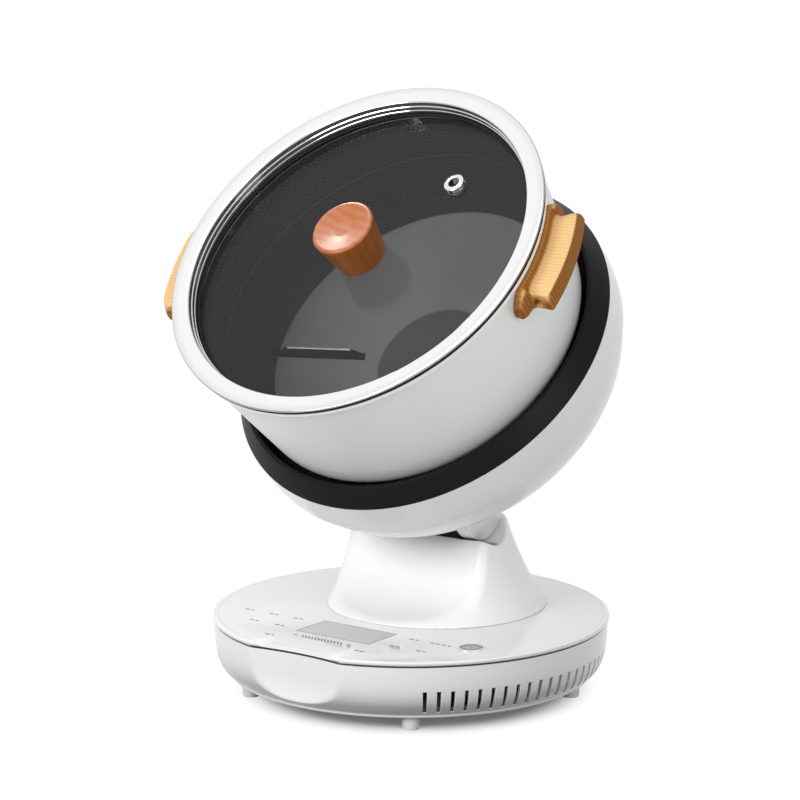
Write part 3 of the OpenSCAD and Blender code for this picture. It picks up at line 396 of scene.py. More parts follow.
def turned_metal(name, color, rough, matrix=WORLD):
    """Metal with faint lines round an axis, as from a lathe or a polishing wheel."""
    skin = Finish(name, metallic=1.0)
    rings, haze = skin.lathe(matrix)[2:]
    return skin.feed(
        color=skin.mix(haze, color, scaled(color, 0.94)),
        roughness=rough + 0.5 * rough * (rings - 0.5) + 0.03 * haze,
        normal=skin.bump(rings, 0.002))


def plain_metal(name, color, rough):
    """Sheet or bar metal with a fine mill grain."""
    skin = Finish(name, metallic=1.0)
    x, y, z = skin.split(skin.place())
    streak = skin.noise(skin.join(x * 0.15, y, z), 0.9, 3.0)
    return skin.feed(
        color=skin.mix(streak, color, scaled(color, 0.8)),
        roughness=rough + 0.2 * (streak - 0.5),
        normal=skin.bump(streak, 0.004))


def lid_metal():
    """The lid's rim: polished steel, with painted reflection as a grey line along its outer and inner edges,
    and painted shade lower on its inner wall.
    """
    skin = Finish("lid_polished_steel", metallic=1.0)
    radius, height, rings, haze = skin.lathe(HEAD)
    # Painted reflection: grey along the outer and inner edges stands in for dark surroundings mirrored there.
    outer = radius.step(lid.far - 1.3, lid.far - 0.1)
    outer = outer.most(0.2 * radius.step(lid.far - 7.0, lid.far - 1.0))
    inner = radius.between(lid.near - 0.2, lid.near + 0.5, 0.7) * height.step(-3.0, -1.0)
    # Painted shade: the inner wall is darker below its first step.
    deep_wall_shade = height.step(-1.6, -2.6) * radius.step(lid.near + 1.0, lid.near)
    face = skin.mix(haze, 0.96, 0.90)
    edged = skin.mix(0.75 * outer, skin.mix(0.55 * inner, face, 0.25), 0.2)
    return skin.feed(
        color=skin.mix(0.5 * deep_wall_shade, edged, 0.3),
        roughness=0.05 + 0.03 * rings + 0.02 * haze,
        normal=skin.bump(rings, 0.001))


def pot_metal():
    """The pot's outside: drawn metal, satin round the wall and brighter on the rolled rim."""
    skin = Finish("pot_satin_metal", metallic=0.15, specular=0.4)
    height, rings, haze = skin.lathe(HEAD, 3.0, 2.0, 0.012)[1:]
    rim = height.step(-pot.top - POT_RIM_H - 1.5, -pot.top - POT_RIM_H)
    wall = skin.mix(haze, 0.90, 0.87)
    return skin.feed(
        color=skin.mix(rim, wall, 0.92),
        roughness=0.40 + 0.04 * rings - 0.2 * rim,
        normal=skin.bump(rings, 0.0006))


def nonstick_coat():
    """The pot's dark inside: a sprayed coat, paler and flecked on its floor. Painted light over it: a pale
    line at the floor's edge as a painted highlight, the middle disc darker as a painted reflection, the rib
    darker as painted shade, and the rib's crest rubbed bare to metal and painted pale as a highlight.
    """
    skin = Finish("pot_nonstick_coat", specular=0.02)
    at = skin.place(POT_FRAME)
    radius, height = skin.polar(at)[::2]
    along, across = skin.split(skin.place(RIB_FRAME))[:2]
    floor_edge = POT_KNEE - POT_WALL
    floor = radius.step(FLOOR_R + 0.6, FLOOR_R - 0.6) * height.step(-floor_edge + 6.0, -floor_edge + 4.0)
    # Painted highlight: a pale line along the floor's edge, where the bead catches the light.
    line = radius.between(FLOOR_R - 1.1, FLOOR_R + 0.1, 0.5) * floor.most(0.35)
    level = height.between(-LEVEL_DEPTH - 0.5, -LEVEL_DEPTH + 0.5, 0.3)
    # Painted reflection: the flat middle disc is painted darker for how it reflects.
    disc = radius.step(POT_DISC_R + 1.5, POT_DISC_R - 1.5)
    fleck = skin.cells(at, 0.6).step(0.22, 0.08)
    grain = skin.noise(at, 0.9, 4.0)
    cloud = skin.noise(at, 0.03, 3.0)
    # Painted shade: the rib is painted darker than the wall.
    rib = across.between(-0.46 * RIB_W, 0.5 * RIB_W, 0.4) * along.between(RIB_IN, RIB_OUT + 8.0, 1.0)
    crest = across.between(-0.40 * RIB_W, -0.18 * RIB_W, 0.25)
    # The rib's crest: rubbed bare to metal, and painted pale as a highlight.
    worn_crest_and_highlight = crest * along.between(RIB_IN + 9.0, RIB_OUT - 5.0, 1.5)
    wall_color = skin.mix(0.25 * level, skin.mix(cloud, 0.05, 0.06), 0.2)
    floor_color = skin.mix(cloud, 0.54, 0.64)
    base = skin.mix(floor, wall_color, skin.mix(0.8 * disc, floor_color, 0.14))
    flecked = skin.mix(fleck * grain * (0.5 * floor), base, 0.5)
    edged = skin.mix(0.65 * line, flecked, 0.5)
    ribbed = skin.mix(rib, edged, 0.016)
    return skin.feed(
        color=skin.mix(worn_crest_and_highlight, ribbed, 0.95),
        metallic=worn_crest_and_highlight,
        roughness=0.75 + 0.1 * grain * floor - 0.45 * worn_crest_and_highlight,
        normal=skin.bump(grain * floor, 0.004))


# Glass

def smoked_glass():
    """Clear lid glass with a smoke tint, brighter where it is seen aslant."""
    skin = Finish("lid_smoked_glass", roughness=0.02, specular=0.75, ior=1.5)
    aslant = skin.add("ShaderNodeLayerWeight", {"Blend": 0.2}, "Fresnel")
    wipe = skin.noise(skin.place(HEAD), 0.01)
    return skin.feed(
        color=skin.mix(wipe, 0.004, 0.008),
        alpha=0.28 + 0.4 * aslant + 0.03 * wipe)


def window_glass():
    """The display's smoked window: a thin printed frame round a paler field."""
    skin = Finish("display_smoked_window", specular=0.5, coat_roughness=0.02)
    low, high = (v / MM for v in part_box("display_window"))
    middle = (low + high) / 2
    half = (high - low) / 2
    at = skin.place()
    x, y = skin.split(at)[:2]
    edge_x = abs(x - middle.x).step(half.x - 1.5, half.x - 1.2)
    edge_y = abs(y - middle.y).step(half.y - 1.5, half.y - 1.2)
    haze = skin.noise(at, 0.05)
    field = skin.mix(haze, 0.36, 0.42)
    return skin.feed(
        color=skin.mix(edge_x.most(edge_y), field, 0.10),
        roughness=0.2 + 0.06 * haze,
        coat=0.7 + 0.2 * haze)


# Wood

def pine_wood(side):
    """Varnished pine: fine growth lines across the grip, slanting over its sides, with painted shade that
    gives the sides and the back plate darker copies of the wood's colour.
    """
    turn = math.radians(POT_TURN + side)
    grip_frame = HEAD @ Matrix.Rotation(turn, 4, "Z")
    skin = Finish("handle_pine_%d" % side, specular=0.03, coat_roughness=0.2)
    at = skin.place(grip_frame)
    x, y, z = skin.split(at)
    radius = skin.polar(at)[0]
    warp = skin.noise(at, 0.035, 3.0)
    fine = skin.noise(at, 0.2)
    line = (0.5 + 0.5 * (y * 2.1 - z * 0.2 + x * 0.25 + warp * 9.0 + fine * 1.6).sine()) ** 5.0
    fibre = skin.noise(skin.join(x * 0.4, y * 2.6, z * 2.0), 1.0, 3.0)
    # Painted shade: faces that turn away from the grip's top, and the back plate inside the grip, take darker
    # copies of the wood's colour.
    top = skin.facing(grip_frame).step(0.3, 0.85)
    grip = radius.step(GRIP_IN - 2.5, GRIP_IN + 0.5)
    patch = line * 0.3 * warp.step(0.3, 0.6)
    pale = skin.mix(patch + fibre * 0.22, (0.88, 0.58, 0.28, 1), (0.58, 0.28, 0.08, 1))
    brown = skin.mix(line * 0.6 + fibre * 0.25, (0.42, 0.175, 0.042, 1), (0.15, 0.05, 0.010, 1))
    plate = skin.mix(line * 0.4 + fibre * 0.25, (0.56, 0.27, 0.075, 1), (0.27, 0.10, 0.02, 1))
    return skin.feed(
        color=skin.mix(top, brown, skin.mix(grip, plate, pale)),
        roughness=0.46 + 0.12 * fibre,
        coat=0.02 * fibre,
        normal=skin.bump(line * 0.5 + fibre * 0.5, 0.012))


def knob_wood():
    """Orange-brown varnished wood with short pores along the knob, and painted shade that darkens its side.
    """
    skin = Finish("knob_red_wood", specular=0.3, coat_roughness=0.25)
    at = skin.place(HEAD)
    x, y, z = skin.split(at)
    warp = skin.noise(at, 0.05, 3.0)
    figure = 0.5 + 0.5 * (y * 0.9 + x * 0.2 + warp * 7.0).sine()
    pores = skin.noise(skin.join(x * 2.4, y * 2.4, z * 0.35), 1.4).step(0.52, 0.66)
    specks = skin.noise(skin.join(x * 0.35, y * 2.2, z), 1.3).step(0.54, 0.7)
    # Painted shade: the knob's side takes a darker copy of its top's colour.
    side = skin.facing(HEAD).step(0.8, 0.3)
    marks = pores * side + specks * (1 - side)
    top_color = skin.mix(figure * 0.5, (0.50, 0.14, 0.026, 1), (0.33, 0.068, 0.009, 1))
    shaded_side_color = skin.mix(figure * 0.4, (0.40, 0.115, 0.014, 1), (0.27, 0.066, 0.007, 1))
    return skin.feed(
        color=skin.mix(marks * 0.55, skin.mix(side, top_color, shaded_side_color), (0.13, 0.026, 0.003, 1)),
        roughness=0.3 + 0.14 * marks,
        coat=0.5 - 0.2 * marks,
        normal=skin.bump(1 - marks, 0.01))


# Inner pieces

def circuit_board():
    """Green solder mask with paler copper runs under it."""
    skin = Finish("board_green_mask", specular=0.5)
    at = skin.place()
    x, y = skin.split(at)[:2]
    runs = ((x * 1.6).sine() * (y * 1.1).sine()).step(0.2, 0.4)
    grain = skin.noise(at, 0.7)
    return skin.feed(
        color=skin.mix(runs * 0.6, (0.01, 0.09, 0.035, 1), (0.03, 0.2, 0.07, 1)),
        roughness=0.35 + 0.15 * grain)


def coil_wire():
    """Lacquered winding wire, turn beside turn."""
    skin = Finish("coil_copper_wire", metallic=0.9)
    radius = skin.polar(skin.place(HEAD))[0]
    turns = 0.5 + 0.5 * (radius * 2.4).sine()
    return skin.feed(
        color=skin.mix(turns, (0.25, 0.09, 0.03, 1), (0.62, 0.29, 0.13, 1)),
        roughness=0.3 + 0.2 * turns,
        normal=skin.bump(turns, 0.3))


def panel_print(name, level):
    """Screen print on the panel, a little uneven in its cover."""
    skin = Finish(name, specular=0.4)
    speck = skin.noise(skin.place(), 1.5)
    return skin.feed(color=skin.mix(speck, level, level * 1.3), roughness=0.4 + 0.1 * speck)


# Radius of the pot's floor inside, past a rounded knee, and depth of the level line on its wall
KNEE_IN = 10.4
FLOOR_R = pot.far - POT_LIP - POT_DRAW - POT_WALL - KNEE_IN
LEVEL_DEPTH = 63.0

# Heights and darkness of the painted shade in the seams: under the deck and at the column's foot
SEAM_SHADE_BANDS = [(shell_top - 0.7, deck_top - DECK_T + 0.2, 0.03), (deck_top + 0.12, deck_top + 0.35, 0.3)]

FINISHES = {
    "white_gloss": gloss_plastic("body_gloss_white", 0.82, paints=[painted_seam_shade]),
    "white_matte": satin_plastic("plate_satin_white", grey(0.58)),
    "white_casting": gloss_plastic("yoke_white_paint", 0.80, 0.34, 0.3),
    "foot_rubber": soft_rubber("foot_pale_rubber", 0.85),
    "screw_steel": plain_metal("screw_steel", grey(0.55), 0.32),
    "display_glass": window_glass(),
    "display_dark": satin_plastic("display_dark_module", grey(0.02)),
    "board_green": circuit_board(),
    "black_plastic": satin_plastic("fitting_black_plastic", grey(0.016)),
    "button_steel": gloss_plastic("button_grey_key", 0.30, 0.3),
    "ring_chrome": turned_metal("ring_bright_chrome", grey(0.82), 0.12),
    "sink_aluminium": plain_metal("plain_aluminium", grey(0.62), 0.34),
    "frame_steel": plain_metal("plain_steel", grey(0.5), 0.36),
    "bush_brass": turned_metal("turned_brass", (0.68, 0.48, 0.2, 1), 0.25),
    "gear_nylon": satin_plastic("natural_nylon", (0.6, 0.575, 0.48, 1), 0.5),
    "friction_grey": satin_plastic("friction_pad_grey", grey(0.05), 0.7),
    "collar_black": satin_plastic("collar_satin_black", grey(0.005), 0.4, 2.2, 0.004, 0.1),
    "liner_dark": satin_plastic("liner_heatproof_dark", grey(0.008), 0.6, specular=0.1),
    "coil_copper": coil_wire(),
    "ferrite_grey": satin_plastic("ferrite_dark_grey", grey(0.03), 0.7),
    "pot_metal": pot_metal(),
    "hub_aluminium": turned_metal("hub_turned_aluminium", grey(0.62), 0.3, HEAD),
    "handle_pine": pine_wood(0),
    "lid_steel": lid_metal(),
    "lid_smoke": smoked_glass(),
    "gasket_black": soft_rubber("gasket_black_rubber", 0.006),
    "knob_wood": knob_wood(),
}
NONSTICK = nonstick_coat()
# Painted light: the deck takes a brighter copy of the body's white, 0.9 against 0.82.
DECK_SKIN = gloss_plastic("deck_gloss_white", 0.9, paints=[deck_line])
BASE_SKIN = gloss_plastic("base_gloss_white", 0.82, paints=[painted_seam_shade, foot_shade])
# Painted light: the column takes a brighter copy of the body's white, 0.9 against 0.82.
COLUMN_SKIN = gloss_plastic("column_gloss_white", 0.9, 0.42, 0.12, [painted_seam_shade, painted_hinge_shade])
PINE_LEFT = pine_wood(180)
DECK_PRINT = panel_print("deck_grey_print", 0.13)
KEY_PRINT = panel_print("key_pale_print", 0.6)


# Mesh helpers

def in_scene(name, data):
    """A new object at the scene's origin."""
    thing = bpy.data.objects.new(name, data)
    bpy.context.scene.collection.objects.link(thing)
    return thing


def mesh_of(work, name):
    """The mesh that some finished edit work comes to."""
    mesh = bpy.data.meshes.new(name)
    work.to_mesh(mesh)
    work.free()
    return mesh


def finished(name, mesh, node, materials=None, stands_for=True):
    """A piece at the origin that rides with a node's body, takes its finish and stands for it."""
    piece = in_scene(name, mesh)
    for material in materials or [FINISHES[slot_of[node]]]:
        mesh.materials.append(material)
    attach(piece, nodes[node]["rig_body"])
    if stands_for:
        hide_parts(node)
    return piece


def shade(mesh, angle):
    """Smooth shading, with edges kept sharp past an angle."""
    for face in mesh.polygons:
        face.use_smooth = True
    mesh.set_sharp_from_angle(angle=math.radians(angle))
    return mesh


def smooth_copy(node, materials=None):
    """A copy of a solid's mesh with its loose triangles joined and its round faces shaded smooth."""
    work = bmesh.new()
    work.from_mesh(nodes[node].data)
    bmesh.ops.remove_doubles(work, verts=work.verts, dist=0.002 * MM)
    name = node + "_smooth"
    return finished(name, shade(mesh_of(work, name), 32.0), node, materials)


def closed_mesh(name, points, faces, matrix, second=None, angle=40.0):
    """A mesh of points in millimetres in a frame, faced outwards; the faces marked take a second finish."""
    mesh = bpy.data.meshes.new(name)
    mesh.from_pydata((np.asarray(points) * MM).tolist(), [], np.asarray(faces).tolist())
    if second is not None:
        mesh.polygons.foreach_set("material_index", np.asarray(second, dtype=np.int32))
    mesh.transform(matrix)
    work = bmesh.new()
    work.from_mesh(mesh)
    bmesh.ops.remove_doubles(work, verts=work.verts, dist=0.001 * MM)
    bmesh.ops.recalc_face_normals(work, faces=work.faces)
    work.to_mesh(mesh)
    work.free()
    return shade(mesh, angle)


def rounded(corners, pieces=6):
    """An outline of radius and height points, with each corner rounded by its own radius."""
    outline = []
    for i, (x, y, radius) in enumerate(corners):
        here = np.array((x, y))
        if radius == 0:
            outline.append(here)
            continue
        before = np.array(corners[i - 1][:2]) - here
        after = np.array(corners[(i + 1) % len(corners)][:2]) - here
        reach_before, reach_after = np.linalg.norm(before), np.linalg.norm(after)
        before, after = before / reach_before, after / reach_after
        half = math.acos(np.clip(before @ after, -1, 1)) / 2
        cut = min(radius / math.tan(half), 0.49 * reach_before, 0.49 * reach_after)
        for t in np.linspace(0, 1, pieces + 1):
            outline.append(here + before * cut * (1 - t) ** 2 + after * cut * t ** 2)
    return np.array(outline)


def turned(name, outline, matrix=HEAD, angles=None, lift=None, second_from=None, ring=True, angle=40.0):
    """An outline turned about an axis: a ring, or a closed body whose ends lie on the axis."""
    turns = np.linspace(0, 2 * math.pi, 256, endpoint=False) if angles is None else angles
    radius, height = outline[:, :1], outline[:, 1:]
    points = np.stack([radius * np.cos(turns), radius * np.sin(turns), height + 0 * turns], -1)
    if lift is not None:
        points[..., 2] += lift(points)
    count, steps = len(outline), len(turns)
    rows = np.arange(count if ring else count - 1)
    i, j = np.meshgrid(rows, np.arange(steps), indexing="ij")
    k, m = (i + 1) % count, (j + 1) % steps
    faces = np.stack([i * steps + j, k * steps + j, k * steps + m, i * steps + m], -1).reshape(-1, 4)
    second = None if second_from is None else np.repeat(rows >= second_from, steps)
    return closed_mesh(name, points.reshape(-1, 3), faces, matrix, second, angle)


def turned_piece(name, outline, node, materials=None, stands_for=True, **shape):
    """A finished piece, turned from an outline."""
    return finished(name, turned(name, outline, **shape), node, materials, stands_for)


def soft_least(a, b, blend):
    """The lesser of two fields, with a blended valley between them."""
    share = np.clip(0.5 + 0.5 * (b - a) / blend, 0, 1)
    return b + (a - b) * share - blend * share * (1 - share)


def soft_most(a, b, blend):
    """The greater of two fields, with a blended ridge between them."""
    return -soft_least(-a, -b, blend)


def rounded_box(point, low, high, radius):
    """Distance to a box with rounded edges."""
    low, high = np.array(low), np.array(high)
    away = np.abs(point - (low + high) / 2) - (high - low) / 2 + radius
    outside = np.linalg.norm(np.maximum(away, 0), axis=-1)
    return outside + np.minimum(away.max(axis=-1), 0) - radius


def carved(field, low, high, cell):
    """Points and faces of the surface where a field is zero, one point to each grid cell that it crosses."""
    axes = [np.arange(a - 2 * cell, b + 3 * cell, cell) for a, b in zip(low, high)]
    grid = np.stack(np.meshgrid(*axes, indexing="ij"), -1)
    value = field(grid)
    inside = value < 0
    n = np.array(inside.shape)
    unit = np.eye(3, dtype=int)
    corners = [np.array(c) for c in np.ndindex(2, 2, 2)]

    def corner(table, c):
        end = c + n - 1
        return table[c[0]:end[0], c[1]:end[1], c[2]:end[2]]

    filled = sum(corner(inside, c).astype(np.int8) for c in corners)
    crossed = (filled > 0) & (filled < 8)
    number = np.full(crossed.shape, -1)
    number[crossed] = np.arange(crossed.sum())
    total = np.zeros((crossed.sum(), 3))
    hits = np.zeros((crossed.sum(), 1))
    for a in corners:
        for axis in np.flatnonzero(a == 0):
            b = a + unit[axis]
            first, last = corner(value, a)[crossed], corner(value, b)[crossed]
            cut = (first < 0) != (last < 0)
            share = np.where(cut, first / np.where(cut, first - last, 1), 0)[:, None]
            where = corner(grid, a)[crossed] * (1 - share) + corner(grid, b)[crossed] * share
            total += where * cut[:, None]
            hits += cut[:, None]
    faces = []
    for axis in range(3):
        step, u, v = (unit[(axis + turn) % 3] for turn in range(3))
        end = n - step
        edges = np.argwhere(inside[:end[0], :end[1], :end[2]] != inside[step[0]:, step[1]:, step[2]:])
        faces.append(np.stack([number[tuple((edges - s).T)] for s in (0 * u, u, u + v, v)], -1))
    return settled(total / hits, np.concatenate(faces), field, cell)


def settled(points, faces, field, cell):
    """Evens out the points of a carved surface, and draws them back on to it after each round."""
    rounds, draws, nudge, least_slope = 3, 2, 0.05, 0.2
    for i in range(rounds):
        middles = points[faces].mean(axis=1)
        pulled = np.zeros_like(points)
        shares = np.zeros((len(points), 1))
        for k in range(4):
            np.add.at(pulled, faces[:, k], middles)
            np.add.at(shares, faces[:, k], 1)
        points = 0.5 * points + 0.5 * pulled / shares
        for k in range(draws):
            ahead = nudge * np.eye(3)
            slope = np.stack([(field(points + d) - field(points - d)) / (2 * nudge) for d in ahead], -1)
            steep = np.maximum((slope ** 2).sum(axis=-1, keepdims=True), least_slope)
            points = points - np.clip(field(points)[:, None] * slope / steep, -cell, cell)
    return points, faces


# Base

def base_shell():
    """The bowl-shaped base wall as a grid of rows and columns that line up with its slots and its inlet."""
    low, high = (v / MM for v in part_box("base_shell"))
    inlet_low, inlet_high = (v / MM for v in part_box("mains_inlet"))
    top_r, foot_r = high.x, high.x - SHELL_IN
    knee_r = top_r + SHELL_BULGE
    scallop_y = deck_r - SCALLOP_DEPTH + SCALLOP_R
    edge, edge_turn, edge_in, inlet_gap = 0.45, 0.2, 0.4, 0.2
    swell_out, swell_h, scallop_blend = 4.0, 22.0, 1.2
    slot_low = low.z + SLOT_RISE
    slot_high = slot_low + SLOT_H
    slot_turn = math.degrees(SLOT_W / 2 / top_r)
    inlet_turn = math.degrees(math.atan2(inlet_high.x + inlet_gap, inlet_high.y))
    inlet_foot, inlet_roof = inlet_low.z - inlet_gap, inlet_high.z + inlet_gap

    slots = [s + (i - (SLOT_COUNT - 1) / 2) * SLOT_PITCH for s in (0.0, 180.0) for i in range(SLOT_COUNT)]
    sides = (-slot_turn - edge_turn, -slot_turn, slot_turn, slot_turn + edge_turn, SLOT_PITCH / 2)
    turns = {s + t for s in slots for t in sides} | {90 - inlet_turn, 90 + inlet_turn}
    reach = SLOT_COUNT * SLOT_PITCH / 2
    turns |= {t + s for s in (0.0, 180.0) for t in np.arange(reach + 1, 180 - reach, 0.75)}
    turns = np.array(sorted(t % 360 for t in turns))
    levels = {low.z, low.z + 0.5, slot_low - edge, slot_low, slot_high, slot_high + edge}
    levels |= {inlet_foot, inlet_roof, high.z - 0.5, high.z}
    levels |= set(np.linspace(low.z + 1.0, low.z + 7.0, 13))
    levels |= set(np.linspace(low.z + 4, high.z - 1.5, 16))
    levels = np.array(sorted(levels))

    rise = levels - low.z
    a, b = high.z - low.z - 2 * SHELL_KNEE, 2 * SHELL_KNEE
    t = (np.sqrt(b * b + 4 * a * rise) - b) / (2 * a)
    wall = foot_r * (1 - t) ** 2 + 2 * knee_r * t * (1 - t) + top_r * t * t
    wall = wall - edge_in * (levels == high.z)
    sine = np.sin(np.radians(turns))
    gap = np.maximum((scallop_y * sine) ** 2 - scallop_y ** 2 + SCALLOP_R ** 2, 0)
    hollow = np.where((gap > 0) & (sine < 0), -scallop_y * sine - np.sqrt(gap), 2 * deck_r)
    swell = swell_out * np.clip(1 - rise / swell_h, 0, 1) ** 2
    outer = soft_least(wall[:, None], hollow[None, :] + swell[:, None], scallop_blend)

    middle_turn = (turns + np.roll(turns, -1) + 360 * (np.roll(turns, -1) < turns)) / 2
    from_slot = (middle_turn[None] - np.array(slots)[:, None] + 180) % 360 - 180
    in_slot = np.min(np.abs(from_slot), axis=0) < slot_turn
    in_inlet = np.abs(middle_turn - 90) < inlet_turn
    middle_level = (levels[1:] + levels[:-1]) / 2
    slot_row = (middle_level > slot_low) & (middle_level < slot_high)
    inlet_row = (middle_level > inlet_foot) & (middle_level < inlet_roof)
    open_cell = (slot_row[:, None] & in_slot[None]) | (inlet_row[:, None] & in_inlet[None])

    touches = open_cell | np.roll(open_cell, 1, axis=1)
    touches = np.pad(touches, ((1, 1), (0, 0)))
    touches = touches[1:] | touches[:-1]
    skins = [outer - edge_in * touches, outer - BASE_WALL]
    across, up = np.cos(np.radians(turns)), levels[:, None] + 0 * turns
    points = np.concatenate([np.stack([r * across, r * sine, up], -1).reshape(-1, 3) for r in skins])
    rows, columns = outer.shape

    def at(spot, skin):
        """Number of the point at a row and column of the outer or inner skin."""
        return (skin * rows + spot[0]) * columns + spot[1] % columns

    def bridge(first, last):
        """A face through the wall, between two neighbouring points."""
        return [at(first, 0), at(last, 0), at(last, 1), at(first, 1)]

    faces = []
    for i, j in np.ndindex(rows - 1, columns):
        here, right, above, beyond = (i, j), (i, j + 1), (i + 1, j), (i + 1, j + 1)
        if not open_cell[i, j]:
            faces.append([at(spot, 0) for spot in (here, right, beyond, above)])
            faces.append([at(spot, 1) for spot in (here, above, beyond, right)])
        if open_cell[i, j] != open_cell[i, j - 1]:
            faces.append(bridge(here, above))
        if i and open_cell[i, j] != open_cell[i - 1, j]:
            faces.append(bridge(here, right))
    for i in (0, rows - 1):
        faces += [bridge((i, j), (i, j + 1)) for j in range(columns)]
    mesh = closed_mesh("base_shell_wall", points, faces, WORLD, angle=25.0)
    finished("base_shell_wall", mesh, "base_shell", [BASE_SKIN])


def bottom_plate():
    """The plate under the base: its lower edge is drawn in behind a clean, rounded edge ring."""
    edge_in, edge_w, turn_r = 7.0, 5.0, 0.8
    low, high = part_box("bottom_plate")
    limit = high.x - edge_in * MM
    for vertex in smooth_copy("bottom_plate").data.vertices:
        radius = vertex.co.xy.length
        if vertex.co.z < low.z + 0.1 * MM and radius > limit:
            vertex.co.xy *= limit / radius
    out, foot, top = high.x / MM, low.z / MM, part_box("base_shell")[0].z / MM
    outline = rounded([
        (out - edge_w, foot, 0), (out, foot, turn_r), (out, top, 0), (out - edge_w, top, 0)])
    turned_piece("bottom_plate_edge", outline, "bottom_plate", [BASE_SKIN], stands_for=False, matrix=WORLD)


# Column

def column_shell():
    """A flared cone with a soft scoop for the bowl, and a saddle and a slot for each knuckle."""
    low, high = (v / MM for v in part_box("column_shell"))
    roof, foot_r, foot_y = high.z, high.x, high.y - high.x
    top_r, lean, flare, flare_power, wall = 60.6, 12.7, 6.4, 5.6, 3.0
    hinge_y, hinge_z = (v / MM for v in joints["head_tilt"]["pos_m"][1:])
    cap_low, cap_high = (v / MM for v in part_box("hinge_caps"))
    saddle_r = (cap_high.y - cap_low.y) / 2 + 1.2
    saddle_x, slot_in, slot_out, slot_r, slot_back = 34.0, 22.0, 38.0, 17.0, 24.0
    bowl_r, bowl_depth, bowl_gap, fore_tilt = 199.07, 35.93, 3.5, 80.0
    scoop_r, scoop_foot, scoop_back, foot_sink = 44.5, 5.5, 22.5, 0.4
    scoop_blend, roof_edge, scoop_edge, saddle_edge = 14.0, 3.0, 6.5, 2.5
    slot_edge, foot_edge, wall_edge = 1.0, 0.6, 0.8
    low.z -= foot_sink
    hinge = HEAD.inverted() @ Vector(joints["head_tilt"]["pos_m"]) / MM
    rise, offset, tilt = -hinge.z - bowl_depth, -hinge.y, math.radians(fore_tilt)
    sweep_y = hinge_y + offset * math.cos(tilt) - rise * math.sin(tilt)
    sweep_z = hinge_z + offset * math.sin(tilt) + rise * math.cos(tilt)
    trough_y = hinge_y - scoop_back - scoop_r
    trough_z = deck_top + scoop_foot + scoop_r

    def field(p):
        x, y, z = np.moveaxis(p, -1, 0)
        t = np.clip((z - deck_top) / (roof - deck_top), 0, 1)
        middle = foot_y - lean * t * t * (3 - 2 * t)
        radius = foot_r - flare * (1 - (1 - t) ** flare_power) - (foot_r - top_r - flare) * t
        side = np.hypot(x, y - middle) - radius
        bowl = np.sqrt(x ** 2 + (y - sweep_y) ** 2 + (z - sweep_z) ** 2) - bowl_r - bowl_gap
        trough = np.hypot(y - trough_y, z - trough_z) - scoop_r
        scoop = soft_least(bowl, trough, scoop_blend)
        from_hinge = np.hypot(y - hinge_y, z - hinge_z)
        saddle = np.maximum(from_hinge - saddle_r, saddle_x - np.abs(x))
        behind = np.maximum(np.maximum(hinge_y - y, y - hinge_y - slot_back), roof - wall - 1 - z)
        slot = np.maximum(np.minimum(from_hinge - slot_r, behind),
                          np.maximum(np.abs(x) - slot_out, slot_in - np.abs(x)))
        outer = soft_most(side, z - roof, roof_edge)
        outer = soft_most(outer, -scoop, scoop_edge)
        outer = soft_most(outer, -saddle, saddle_edge)
        room = outer + wall
        outer = soft_most(outer, -slot, slot_edge)
        outer = soft_most(outer, deck_top - foot_sink - z, foot_edge)
        return soft_most(outer, -room, wall_edge)

    mesh = closed_mesh("column_shell_soft", *carved(field, low, high, 1.2), WORLD, angle=70.0)
    finished("column_shell_soft", mesh, "column_shell", [COLUMN_SKIN])


# Pot

def pot_wall_r(depth):
    """Radius of the pot's tapered wall at a depth."""
    foot = pot.top + POT_RIM_H
    return pot.far - POT_LIP - (depth - foot) * POT_DRAW / (POT_KNEE - foot)


